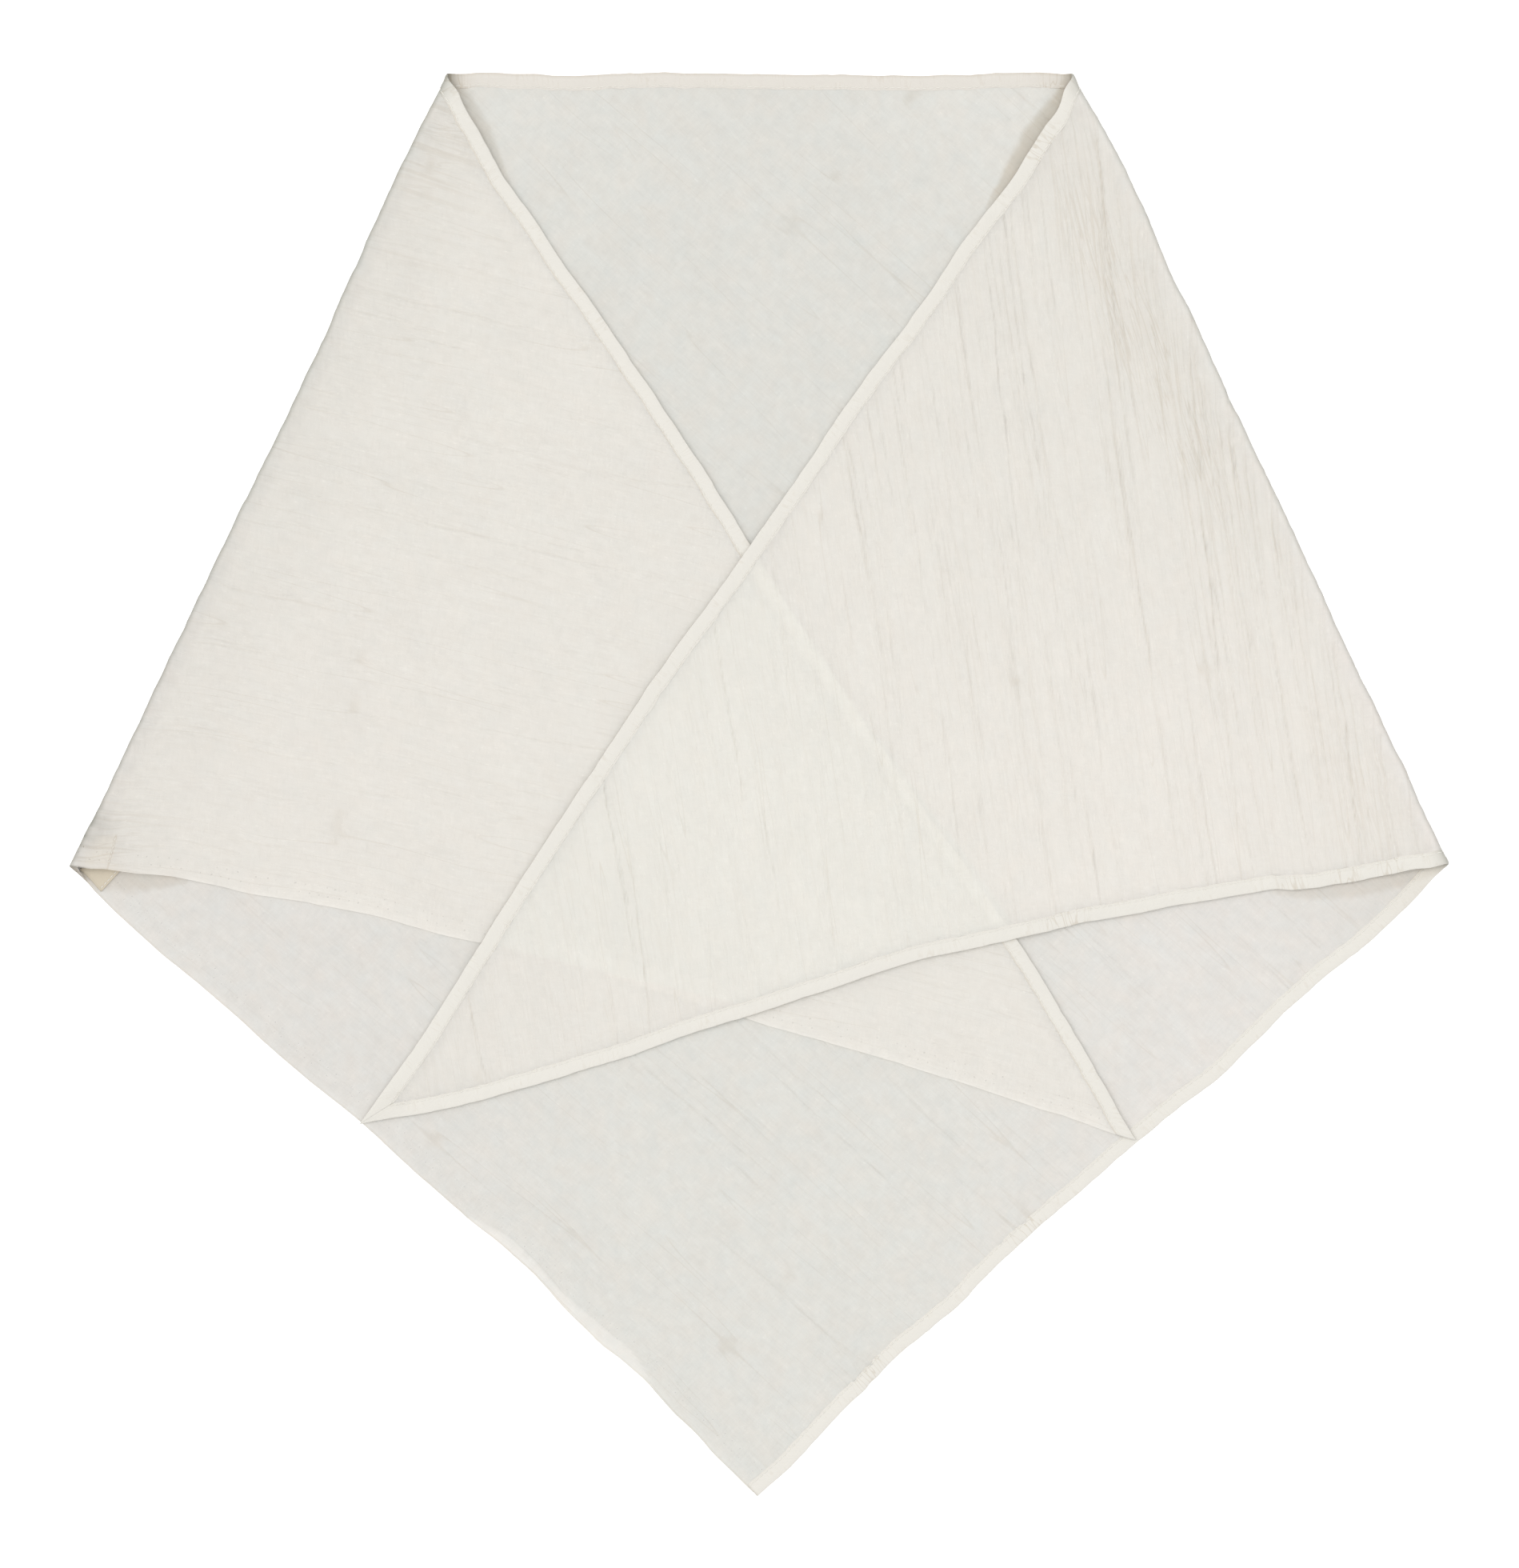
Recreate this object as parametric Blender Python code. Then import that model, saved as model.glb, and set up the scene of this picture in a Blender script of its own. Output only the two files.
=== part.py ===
"""Triangular arm sling of cotton muslin with both long tips folded inwards, lying flat.

The cloth is one triangle, modelled as three thin panels that meet at two folds: the back panel,
the left flap on top of it and the right flap on top of both. Each flap turns about its fold, from
lying on the back panel to lying flat beside it. The long edge and the right short edge are bound
with folded tape, and the left short edge is the cloth's own woven selvedge.

The origin is under the middle of the folded sling. +Y runs from the pointed corner to the top
edge, and +Z is up, out of the back panel.
"""
import math

import bmesh
import bpy
from mathutils import Vector

# Corners of the folded outline, in metres
LEFT = Vector((-0.3235, -0.0378))
RIGHT = Vector((0.3235, -0.0370))
TOP_LEFT = Vector((-0.1461, 0.3338))
TOP_RIGHT = Vector((0.1469, 0.3338))
BOTTOM = Vector((-0.0008, -0.3338))

# Where the two folded tips lie
LEFT_TIP = Vector((0.1770, -0.1666))
RIGHT_TIP = Vector((-0.1875, -0.1591))

# Thicknesses, and the gaps that keep touching solids apart
CLOTH = 0.0005
TAPE = 0.0004
GAP = 0.0003
LAYER_GAP = 0.0004

# The tape is folded over the edge and clasps the cloth
TAPE_WIDTH = 0.0070
BINDING_HEIGHT = 2 * (TAPE + GAP) + CLOTH
THREAD_RADIUS = 0.0002
THREAD_SIDES = 6
FOLD_STEPS = 16

# The woven label, folded in half over the left fold
LABEL_FROM_EDGE = 0.0020
LABEL_WIDTH = 0.0150
LABEL_REACH = 0.0190
LABEL_THICKNESS = 0.0003

# Height of the underside of each layer
BACK_BASE = 0.0
LEFT_BASE = BINDING_HEIGHT + LAYER_GAP
RIGHT_BASE = 2 * LEFT_BASE

COLOURS = {
    "muslin": (0.80, 0.77, 0.71),
    "binding_tape": (0.84, 0.81, 0.75),
    "thread": (0.88, 0.86, 0.80),
    "label": (0.82, 0.78, 0.68),
}
ROUGHNESS = {"muslin": 0.95, "binding_tape": 0.9, "thread": 0.7, "label": 0.45}


class Edge:
    """A directed line in plan. Outlines run anticlockwise, so their inside is on its left."""

    def __init__(self, start, end):
        self.start = start
        self.end = end
        self.along = (end - start).normalized()
        self.inward = Vector((-self.along.y, self.along.x))

    def moved_in(self, distance):
        return Edge(self.start + self.inward * distance, self.end + self.inward * distance)

    def square_at(self, distance):
        """The line straight across this edge, at a distance from its start."""
        foot = self.start + self.along * distance
        return Edge(foot, foot + self.inward)

    def meet(self, other):
        """The point where this line crosses another."""
        apart = other.start - self.start
        distance = apart.cross(other.along) / self.along.cross(other.along)
        return self.start + self.along * distance


def clear_scene():
    for old in list(bpy.data.objects):
        bpy.data.objects.remove(old, do_unlink=True)


def fabric(name):
    """The material of one kind of cloth, made when it is first asked for."""
    material = bpy.data.materials.get(name)
    if material is None:
        material = bpy.data.materials.new(name)
        material.use_nodes = True
        shader = material.node_tree.nodes["Principled BSDF"]
        shader.inputs["Base Color"].default_value = (*COLOURS[name], 1.0)
        shader.inputs["Roughness"].default_value = ROUGHNESS[name]
        shader.inputs["Metallic"].default_value = 0.0
    return material


def add_pivot(name, location, turn):
    """An empty that a group of pieces is parented to, with its X axis turned in plan."""
    pivot = bpy.data.objects.new(name, None)
    pivot.location = location
    pivot.rotation_euler.z = turn
    pivot.empty_display_size = 0.02
    bpy.context.collection.objects.link(pivot)
    return pivot


def add_solid(name, rings, cloth, pivot, smooth=False):
    """A closed solid between two matching rings of points, with its origin on its pivot."""
    shape = bmesh.new()
    to_local = pivot.matrix_basis.inverted()
    first, second = [[shape.verts.new(to_local @ point) for point in ring] for ring in rings]
    for i in range(len(first)):
        shape.faces.new((first[i - 1], first[i], second[i], second[i - 1]))
    shape.faces.new(first)
    shape.faces.new(second)
    bmesh.ops.recalc_face_normals(shape, faces=shape.faces)
    mesh = bpy.data.meshes.new(name)
    shape.to_mesh(mesh)
    shape.free()
    if smooth:
        mesh.shade_smooth()
        mesh.set_sharp_from_angle(angle=math.radians(65))
    mesh.materials.append(fabric(cloth))
    solid = bpy.data.objects.new(name, mesh)
    solid.parent = pivot
    bpy.context.collection.objects.link(solid)


def plate(name, sides, low, thickness, cloth, pivot):
    """A flat plate bounded by lines, each of which crosses the next."""
    corners = [side.meet(sides[i - 1]) for i, side in enumerate(sides)]
    rings = [[Vector((*corner, z)) for corner in corners] for z in (low, low + thickness)]
    add_solid(name, rings, cloth, pivot)


def strip(name, edge, profile, cuts, cloth, pivot, smooth=False):
    """A profile of (distance inwards, height) run along an edge between two cutting lines."""
    rings = [[Vector((*edge.moved_in(x).meet(cut), z)) for x, z in profile] for cut in cuts]
    add_solid(name, rings, cloth, pivot, smooth)


def binding(name, edge, base, cuts, pivot):
    """Tape folded over an edge, with the cloth between its two walls."""
    top = base + BINDING_HEIGHT
    profile = [
        (0, base),
        (TAPE_WIDTH, base),
        (TAPE_WIDTH, base + TAPE),
        (TAPE, base + TAPE),
        (TAPE, top - TAPE),
        (TAPE_WIDTH, top - TAPE),
        (TAPE_WIDTH, top),
        (0, top),
    ]
    strip(name, edge, profile, cuts, "binding_tape", pivot)


def thread(name, edge, inwards, height, cuts, pivot):
    """A run of sewing thread, parallel to an edge."""
    turns = [math.tau * i / THREAD_SIDES for i in range(THREAD_SIDES)]
    profile = [
        (inwards + THREAD_RADIUS * math.cos(turn), height + THREAD_RADIUS * math.sin(turn))
        for turn in turns
    ]
    strip(name, edge, profile, cuts, "thread", pivot, smooth=True)


def bound_edge(name, edge, base, cuts, pivot):
    """A binding and the thread that lies on the cloth along its inner side."""
    binding(f"{name}_binding", edge, base, cuts, pivot)
    inwards = TAPE_WIDTH + GAP + THREAD_RADIUS
    height = cloth_low(base) + CLOTH + GAP + THREAD_RADIUS
    thread(f"{name}_thread", edge, inwards, height, cuts, pivot)


def cloth_low(base):
    """Underside of a layer's cloth, which its binding holds half way up."""
    return base + TAPE + GAP


def inside_tape(edge):
    """The line where the cloth stops, just inside the folded tape."""
    return edge.moved_in(TAPE + GAP)


def fold_axis(fold, base):
    """A fold's axis in plan: inside the outline by the roll's outer radius."""
    return fold.moved_in((base + CLOTH) / 2)


def fold_height(base):
    """Half way between the back panel and the flap, so that the opened flap lies level."""
    return (base + BINDING_HEIGHT) / 2


def fold_roll(name, fold, base, pivot):
    """The half tube of cloth that joins a flap to the back panel."""
    turns = [math.pi * (i / FOLD_STEPS - 0.5) for i in range(FOLD_STEPS + 1)]
    outside = [((base + CLOTH) / 2, turn) for turn in turns]
    inside = [((base - CLOTH) / 2, turn) for turn in reversed(turns)]
    profile = [
        (-radius * math.cos(turn), fold_height(base) + radius * math.sin(turn))
        for radius, turn in outside + inside
    ]
    cuts = fold.square_at(0), fold.square_at((fold.end - fold.start).length)
    strip(name, fold_axis(fold, base), profile, cuts, "muslin", pivot, smooth=True)


def label_half(name, selvedge, fold_cut, label_low, thread_height, pivot):
    """Half of the label, from the fold to its sewn end, beside the selvedge."""
    lower = selvedge.moved_in(LABEL_FROM_EDGE)
    upper = selvedge.moved_in(LABEL_FROM_EDGE + LABEL_WIDTH)
    sewn_end = selvedge.square_at(LABEL_REACH)
    plate(f"{name}_half", [fold_cut, lower, sewn_end, upper], label_low, LABEL_THICKNESS, "label", pivot)
    beyond = -GAP - THREAD_RADIUS
    thread(f"{name}_thread", sewn_end, beyond, thread_height, (lower, upper), pivot)


def hinge_pivot(name, fold, base):
    """The empty on a fold's axis. Turning it about its own X by 180 degrees opens the flap."""
    start = fold_axis(fold, base).start
    turn = math.atan2(fold.along.y, fold.along.x)
    return add_pivot(name, (*start, fold_height(base)), turn)


def main():
    clear_scene()
    left_fold = Edge(TOP_LEFT, LEFT)
    right_fold = Edge(RIGHT, TOP_RIGHT)
    left_cut = fold_axis(left_fold, LEFT_BASE).moved_in(GAP)
    right_cut = fold_axis(right_fold, RIGHT_BASE).moved_in(GAP)

    # Back panel, which stays put, with both fold rolls
    back = add_pivot("back", (0, 0, BACK_BASE), 0)
    top = Edge(TOP_RIGHT, TOP_LEFT)
    lower_right = Edge(BOTTOM, RIGHT)
    lower_left = Edge(LEFT, BOTTOM)
    sides = [inside_tape(lower_right), right_cut, inside_tape(top), left_cut, lower_left]
    plate("back_panel", sides, cloth_low(BACK_BASE), CLOTH, "muslin", back)
    bound_edge("top", top, BACK_BASE, (right_cut, left_cut), back)
    bound_edge("lower_right", lower_right, BACK_BASE, (lower_left, right_cut), back)
    fold_roll("left_fold", left_fold, LEFT_BASE, back)
    fold_roll("right_fold", right_fold, RIGHT_BASE, back)

    # Left flap, between the back panel and the right flap
    left = hinge_pivot("left_hinge", left_fold, LEFT_BASE)
    left_long = Edge(LEFT_TIP, TOP_LEFT)
    left_lower = Edge(LEFT, LEFT_TIP)
    sides = [left_cut, left_lower, inside_tape(left_long)]
    plate("left_flap_panel", sides, cloth_low(LEFT_BASE), CLOTH, "muslin", left)
    bound_edge("left_flap", left_long, LEFT_BASE, (left_lower, left_cut), left)

    # Right flap, on top of both, with its two bindings mitred at the tip
    right = hinge_pivot("right_hinge", right_fold, RIGHT_BASE)
    right_upper = Edge(TOP_RIGHT, RIGHT_TIP)
    right_lower = Edge(RIGHT_TIP, RIGHT)
    sides = [right_cut, inside_tape(right_upper), inside_tape(right_lower)]
    plate("right_flap_panel", sides, cloth_low(RIGHT_BASE), CLOTH, "muslin", right)
    mitre = Edge(RIGHT_TIP, RIGHT_TIP + right_lower.along - right_upper.along)
    upper_cuts = (right_cut, mitre.moved_in(GAP / 2))
    lower_cuts = (mitre.moved_in(-GAP / 2), right_cut)
    bound_edge("right_flap_upper", right_upper, RIGHT_BASE, upper_cuts, right)
    bound_edge("right_flap_lower", right_lower, RIGHT_BASE, lower_cuts, right)

    # The label lies inside the left fold, half on the back panel and half on the flap
    back_top = cloth_low(BACK_BASE) + CLOTH + GAP
    label_half("label_back", lower_left, left_cut, back_top, back_top + THREAD_RADIUS, back)
    flap_low = cloth_low(LEFT_BASE) - GAP
    label_low = flap_low - LABEL_THICKNESS
    label_half("label_flap", left_lower, left_cut, label_low, flap_low - THREAD_RADIUS, left)


main()
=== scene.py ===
"""Looks of a triangular arm sling of crinkled cotton muslin, folded flat with its tips turned in.

All places are in metres in the frame of the CAD model. The cloth is laid out first in its own
unfolded plane, which is the back panel's plane carried on past both folds. cloth_surface() then
folds any of its points, so that the cloth, tapes, stitches and label all follow one surface.
"""
import math

import bmesh
import bpy
import numpy as np
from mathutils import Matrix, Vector


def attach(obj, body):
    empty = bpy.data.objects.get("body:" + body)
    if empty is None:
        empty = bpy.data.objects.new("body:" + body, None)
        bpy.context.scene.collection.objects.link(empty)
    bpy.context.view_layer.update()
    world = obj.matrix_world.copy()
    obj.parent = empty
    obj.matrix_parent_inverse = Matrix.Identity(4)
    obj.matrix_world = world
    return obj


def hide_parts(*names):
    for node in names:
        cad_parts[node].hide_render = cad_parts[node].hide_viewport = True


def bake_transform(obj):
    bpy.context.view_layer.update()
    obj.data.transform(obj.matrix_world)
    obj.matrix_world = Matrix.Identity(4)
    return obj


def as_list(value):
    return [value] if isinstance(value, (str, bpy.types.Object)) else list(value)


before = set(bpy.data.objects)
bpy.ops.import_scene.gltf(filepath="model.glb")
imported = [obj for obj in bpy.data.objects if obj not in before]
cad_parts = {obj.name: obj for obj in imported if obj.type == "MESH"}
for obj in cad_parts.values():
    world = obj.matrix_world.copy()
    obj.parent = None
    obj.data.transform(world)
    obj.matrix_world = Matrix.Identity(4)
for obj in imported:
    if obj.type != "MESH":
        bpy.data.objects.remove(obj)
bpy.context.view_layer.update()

MM = 0.001

# Corners of the folded outline and the two folded tips, as in the CAD model
LEFT = np.array([-0.3235, -0.0378])
RIGHT = np.array([0.3235, -0.0370])
TOP_LEFT = np.array([-0.1461, 0.3338])
TOP_RIGHT = np.array([0.1469, 0.3338])
BOTTOM = np.array([-0.0008, -0.3338])
LEFT_TIP = np.array([0.1770, -0.1666])
RIGHT_TIP = np.array([-0.1875, -0.1591])

# Heights of the middle of each layer of cloth above the surface that the sling lies on
BACK_HEIGHT = 0.7 * MM
FLAP_HEIGHT = 1.95 * MM
OVER_FLAP_HEIGHT = 3.35 * MM

# Fold pieces reach this far to each side of a fold
FOLD_REACH = 11 * MM

# How wide the rounded shoulder of a fold is on its flap
FLAP_SHOULDER = 8 * MM

# The folded tape, how far the cloth stops inside its edge, and its seam
TAPE_WIDTH = 7 * MM
TAPE_HALF = 0.5 * MM
CLOTH_IN_TAPE = 2.5 * MM
STITCH_LENGTH = 2.5 * MM
STITCH_PITCH = 3.0 * MM
STITCH_RADIUS = 0.2 * MM
STITCH_INSET = 6.0 * MM

# The tape's mesh, and the lengths over which it is slanted to its cut ends and bent at corners
TAPE_STEP = 1.2 * MM
TAPE_SIDES = 20
MITRE_LENGTH = 30 * MM
BEND_LENGTH = 40 * MM

# Two rows of pin holes along the selvedge, from the loom's temple, on the back and on the flap
PIN_PITCH = 4.7 * MM
BACK_PIN_ROWS = (6.5 * MM, 10.0 * MM)
FLAP_PIN_ROWS = (4.0 * MM, 8.0 * MM)
YARN_PITCH = 0.6 * MM

# The label, from the selvedge inwards and to each side of the left corner
LABEL_INSET = 2 * MM
LABEL_WIDTH = 15 * MM
LABEL_REACH = 19 * MM
LABEL_SEAM = LABEL_REACH - 1.2 * MM
LABEL_LOW = 0.40 * MM
LABEL_HIGH = 0.65 * MM

BACK_COLOUR = (0.692, 0.688, 0.644)
FLAP_COLOUR = (0.985, 0.956, 0.906)
BACK_TAPE_COLOUR = (0.69, 0.657, 0.603)
FLAP_TAPE_COLOUR = (0.727, 0.704, 0.649)
THREAD_COLOUR = (0.84, 0.82, 0.76)
# The label's own tan, darkened with painted shade because it lies in the fold
SHADED_LABEL_COLOUR = (0.62, 0.55, 0.43)
FLOOR_COLOUR = (0.96, 0.96, 0.96)
FLOOR_GLOW = 0.22

# Tints that multiply a colour: painted shade in creases, at corners and in openings, faint stains,
# painted shade on a fold's rounded side, toward the back panel's side corners, and where the
# right flap lies on the left one
PAINTED_SHADE_TINT = (0.83, 0.79, 0.735)
STAIN_TINTS = ((1.025, 0.995, 0.975), (0.975, 1.003, 1.02))
ROLL_SHADE_TINT = (0.79, 0.795, 0.785)
WARM_TINT = (1.006, 0.986, 0.998)
LAYERED_TINT = (0.991, 1.007, 1.007)

# How much of the light the sheer cloth lets through, scattered by its yarns
BACK_SHEER = 0.14
FLAP_SHEER = 0.28

# How much of the cloth is yarn and not the gaps between yarns
BACK_COVER = 0.985
FLAP_COVER = 0.80

# The cloth's rows lie this far apart, and its slope is measured over twice this step
ROW_STEP = 0.55 * MM
SLOPE_STEP = 0.25 * MM


# Curves and noise ----


def ease(x):
    """0 to 1 with level ends."""
    x = np.clip(x, 0, 1)
    return x * x * (3 - 2 * x)


def fall(x):
    """1 to 0 with level ends."""
    return 1 - ease(x)


def noise(x, y, seed):
    """Smooth noise from -1 to 1, in cells one unit wide."""
    x, y = np.broadcast_arrays(np.asarray(x, float), np.asarray(y, float))
    column, row = np.floor(x).astype(np.int64), np.floor(y).astype(np.int64)
    fx, fy = ease(x - column), ease(y - row)

    def corner(i, j):
        n = (column + i) * 73856093 ^ (row + j) * 19349663 ^ np.int64(seed * 83492791)
        n = (n ^ (n >> 13)) * 1274126177
        n = n ^ (n >> 16)
        return (n & 0xFFFF) / 32767.5 - 1

    low = corner(0, 0) * (1 - fx) + corner(1, 0) * fx
    high = corner(0, 1) * (1 - fx) + corner(1, 1) * fx
    return low * (1 - fy) + high * fy


def curve(x, knots):
    """A smooth curve through (x, y) knots, level before the first and after the last."""
    kx, ky = np.array(knots, float).T
    slope = np.gradient(ky, kx)
    slope[0] = slope[-1] = 0
    i = np.clip(np.searchsorted(kx, x) - 1, 0, len(kx) - 2)
    span = kx[i + 1] - kx[i]
    u = np.clip((x - kx[i]) / span, 0, 1)
    return (
        ky[i] * (1 + 2 * u) * (1 - u) ** 2
        + ky[i + 1] * u * u * (3 - 2 * u)
        + span * (slope[i] * u * (1 - u) ** 2 - slope[i + 1] * u * u * (1 - u))
    )


# The folded outline in plan ----


class Edge:
    """A side of a panel. Panels run anticlockwise, so their inside is on an edge's left.

    bow gives (distance along in metres, inward shift in millimetres) knots of its uneven line,
    reach how far into the panel that shift is felt, and ragged its roughness in millimetres.
    """

    def __init__(self, start, end, seed=0, reach=0.06, ragged=0.35, bow=()):
        self.start, self.end, self.seed, self.reach, self.ragged = start, end, seed, reach, ragged
        self.length = float(np.linalg.norm(end - start))
        self.along = (end - start) / self.length
        self.inward = np.array([-self.along[1], self.along[0]])
        self.knots = [(0, 0), *bow, (self.length, 0)]

    def point(self, along, inside):
        along, inside = np.broadcast_arrays(along, inside)
        return self.start + along[..., None] * self.along + inside[..., None] * self.inward

    def along_of(self, p):
        return (p - self.start) @ self.along

    def inside_of(self, p):
        return (p - self.start) @ self.inward

    def mirror(self, p):
        return p - 2 * self.inside_of(p)[..., None] * self.inward

    def shift(self, along):
        """How far inwards the real line lies from the straight one."""
        taper = ease(along / 0.02) * ease((self.length - along) / 0.02)
        rough = noise(along / 0.012, 0, self.seed) + 0.4 * noise(along / 0.004, 0, self.seed + 1)
        return (curve(along, self.knots) + self.ragged * taper * rough) * MM

    def pull(self, p, guard):
        """The shift of points in plan that this edge's uneven line causes."""
        felt = fall(self.inside_of(p) / self.reach) * guard
        return (self.shift(self.along_of(p)) * felt)[..., None] * self.inward


TOP = Edge(TOP_RIGHT, TOP_LEFT, 1, bow=[
    (0.015, -1.2), (0.03, -0.9), (0.055, 0.2), (0.10, 0.2), (0.15, -0.2), (0.20, -0.5),
    (0.235, 0.4), (0.265, -0.4), (0.28, -1.2),
])
LOWER_RIGHT = Edge(BOTTOM, RIGHT, 2, ragged=0.3, bow=[
    (0.02, -0.2), (0.04, 1.2), (0.06, 2.5), (0.09, 4.0), (0.105, 3.7), (0.13, 2.2), (0.155, 4.0),
    (0.18, 4.3), (0.21, 2.9), (0.24, 2.5), (0.27, 0.6), (0.29, -1.3), (0.32, -0.3), (0.36, 0.1),
    (0.385, -1.9), (0.41, -1.8),
])
LOWER_LEFT = Edge(LEFT, BOTTOM, 3, ragged=0.25, bow=[
    (0.024, -1.4), (0.06, -1.3), (0.08, -0.2), (0.10, 0.6), (0.13, 1.0), (0.15, 1.6), (0.178, 3.4),
    (0.21, 3.6), (0.25, 4.5), (0.275, 6.0), (0.29, 5.9), (0.31, 3.9), (0.335, 3.2), (0.355, 4.3),
    (0.365, 4.2), (0.38, 2.7), (0.40, 1.8), (0.42, 0.3),
])
RIGHT_FOLD = Edge(RIGHT, TOP_RIGHT, 4, reach=0.04, bow=[
    (0.07, -0.9), (0.10, -0.7), (0.18, -1.4), (0.26, -1.5), (0.287, -2.4), (0.303, -1.6),
    (0.34, -3.2), (0.38, -2.2),
])
LEFT_FOLD = Edge(TOP_LEFT, LEFT, 5, reach=0.04, ragged=0.3, bow=[
    (0.04, -1.0), (0.10, -0.2), (0.15, 1.0), (0.20, 0.6), (0.29, 0.1), (0.35, 0.6), (0.385, 0.3),
])
LEFT_LONG = Edge(LEFT_TIP, TOP_LEFT, 6, bow=[
    (0.03, -0.8), (0.07, -1.8), (0.11, -1.8), (0.20, 0.0), (0.30, 1.0), (0.37, -0.3), (0.40, -0.2),
    (0.46, 1.2), (0.50, 2.7), (0.52, 2.8), (0.545, 3.9), (0.565, 2.2), (0.58, 1.6),
])
LEFT_LOWER = Edge(LEFT, LEFT_TIP, 7, reach=0.16, ragged=0.3, bow=[
    (0.012, 2.4), (0.03, 4.4), (0.045, 6.8), (0.06, 7.8), (0.085, 8.5), (0.105, 10.5),
    (0.12, 11.8), (0.145, 13.0), (0.17, 12.1), (0.21, 13.8), (0.30, 11.0), (0.33, 9.4),
    (0.40, 7.5), (0.47, 3.0),
])
RIGHT_UPPER = Edge(TOP_RIGHT, RIGHT_TIP, 8, ragged=0.25, bow=[
    (0.012, 3.6), (0.032, 3.1), (0.055, 4.3), (0.085, 2.2), (0.13, 2.1), (0.15, 1.2), (0.17, 0.1),
    (0.25, -0.4), (0.30, -1.6), (0.34, -3.1), (0.375, -3.0), (0.405, -2.4), (0.45, -1.9),
    (0.49, -1.5), (0.55, -0.6),
])
RIGHT_LOWER = Edge(RIGHT_TIP, RIGHT, 9, reach=0.16, ragged=0.25, bow=[
    (0.037, -2.6), (0.063, -2.1), (0.089, -0.8), (0.116, 0.7), (0.142, 2.8), (0.168, 5.8),
    (0.19, 7.2), (0.247, 12.0), (0.273, 14.1), (0.30, 13.5), (0.326, 12.9), (0.352, 13.1),
    (0.378, 11.4), (0.40, 10.7), (0.42, 8.9), (0.44, 7.7), (0.46, 3.7), (0.475, 2.8), (0.49, 1.8),
    (0.51, 1.6),
])

# The yarns that run along the selvedge are the warp, and the crinkles run with them
WARP = LOWER_LEFT.along
WEFT = np.array([-WARP[1], WARP[0]])

# The flaps' sides in the unfolded plane, anticlockwise round the whole triangle
OPEN_LEFT_TIP = LEFT_FOLD.mirror(LEFT_TIP)
OPEN_RIGHT_TIP = RIGHT_FOLD.mirror(RIGHT_TIP)
OPEN_RIGHT_LEG = Edge(RIGHT, OPEN_RIGHT_TIP)
OPEN_LONG_RIGHT = Edge(OPEN_RIGHT_TIP, TOP_RIGHT)
OPEN_LONG_LEFT = Edge(TOP_LEFT, OPEN_LEFT_TIP)
OPEN_SELVEDGE = Edge(OPEN_LEFT_TIP, LEFT)

# Corners of the back panel darkened with painted shade: (corner, radius, depth)
SHADED_CORNERS = [
    (TOP_RIGHT, 0.024, 0.30),
    (TOP_LEFT, 0.018, 0.35),
    (LEFT, 0.030, 0.20),
    (RIGHT, 0.070, 0.25),
]

# Where a flap's edge stands clear of the back panel and shades it: (edge, start and end along it,
# greatest width in millimetres, depth)
SHADED_OPENINGS = [
    (RIGHT_UPPER, -0.008, 0.078, 8.0, 0.95),
    (LEFT_LONG, LEFT_LONG.length - 0.062, LEFT_LONG.length + 0.012, 6.5, 0.40),
    (LEFT_LOWER, -0.015, 0.058, 10.5, 0.60),
    (RIGHT_LOWER, RIGHT_LOWER.length - 0.090, RIGHT_LOWER.length + 0.012, 7.5, 0.42),
]


def inside_folds(p):
    """How far inside both folds unfolded points lie. It is below 0 on a flap."""
    return np.minimum(LEFT_FOLD.inside_of(p), RIGHT_FOLD.inside_of(p))


def distance_from(place, p):
    return np.hypot(*(p - place).T)


# How the cloth lies ----


# In millimetres, at the middle, start and end of each fold: the radius of its roll, and how far
# from it the flap takes to come down to lie flat
ROLL_RADIUS = {LEFT_FOLD: (1.9, 2.3, 3.0), RIGHT_FOLD: (1.9, 1.9, 2.3)}
SLOPE_LENGTH = {LEFT_FOLD: (30, 45, 60), RIGHT_FOLD: (32, 34, 50)}

BACK_EDGES = (TOP, LOWER_RIGHT, LOWER_LEFT)
FLAP_EDGES = {LEFT_FOLD: (LEFT_LONG, LEFT_LOWER), RIGHT_FOLD: (RIGHT_UPPER, RIGHT_LOWER)}

# Places where a flap's edge stands up a little: (point in plan, radius, height in mm)
LIFTS = {
    LEFT_FOLD: [
        (LEFT_LONG.point(0.56, 0.004), 0.034, 0.6),
        (LEFT_LOWER.point(0.05, 0.004), 0.034, 0.8),
    ],
    RIGHT_FOLD: [
        (RIGHT_LOWER.point(0.365, 0.004), 0.034, 0.3),
        (RIGHT_LOWER.point(0.472, 0.004), 0.030, 0.2),
        (RIGHT_UPPER.point(0.04, 0.004), 0.030, 0.5),
    ],
}


def swell(fold, along, sizes):
    """A size along a fold that differs near its two ends."""
    middle, start, end = sizes[fold]
    near_start, near_end = fall(along / 0.09), fall((fold.length - along) / 0.11)
    return (middle + (start - middle) * near_start + (end - middle) * near_end) * MM


def outside_left_flap(p):
    """How far a point in plan lies outside the folded left flap."""
    sides = [edge.shift(edge.along_of(p)) - edge.inside_of(p) for edge in (LEFT_LONG, LEFT_LOWER)]
    return np.maximum(*sides)


def over_left_flap(p):
    """1 where the left flap lies under a point of the right flap, 0 well outside it."""
    return fall((outside_left_flap(p) + 2 * MM) / (32 * MM))


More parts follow.
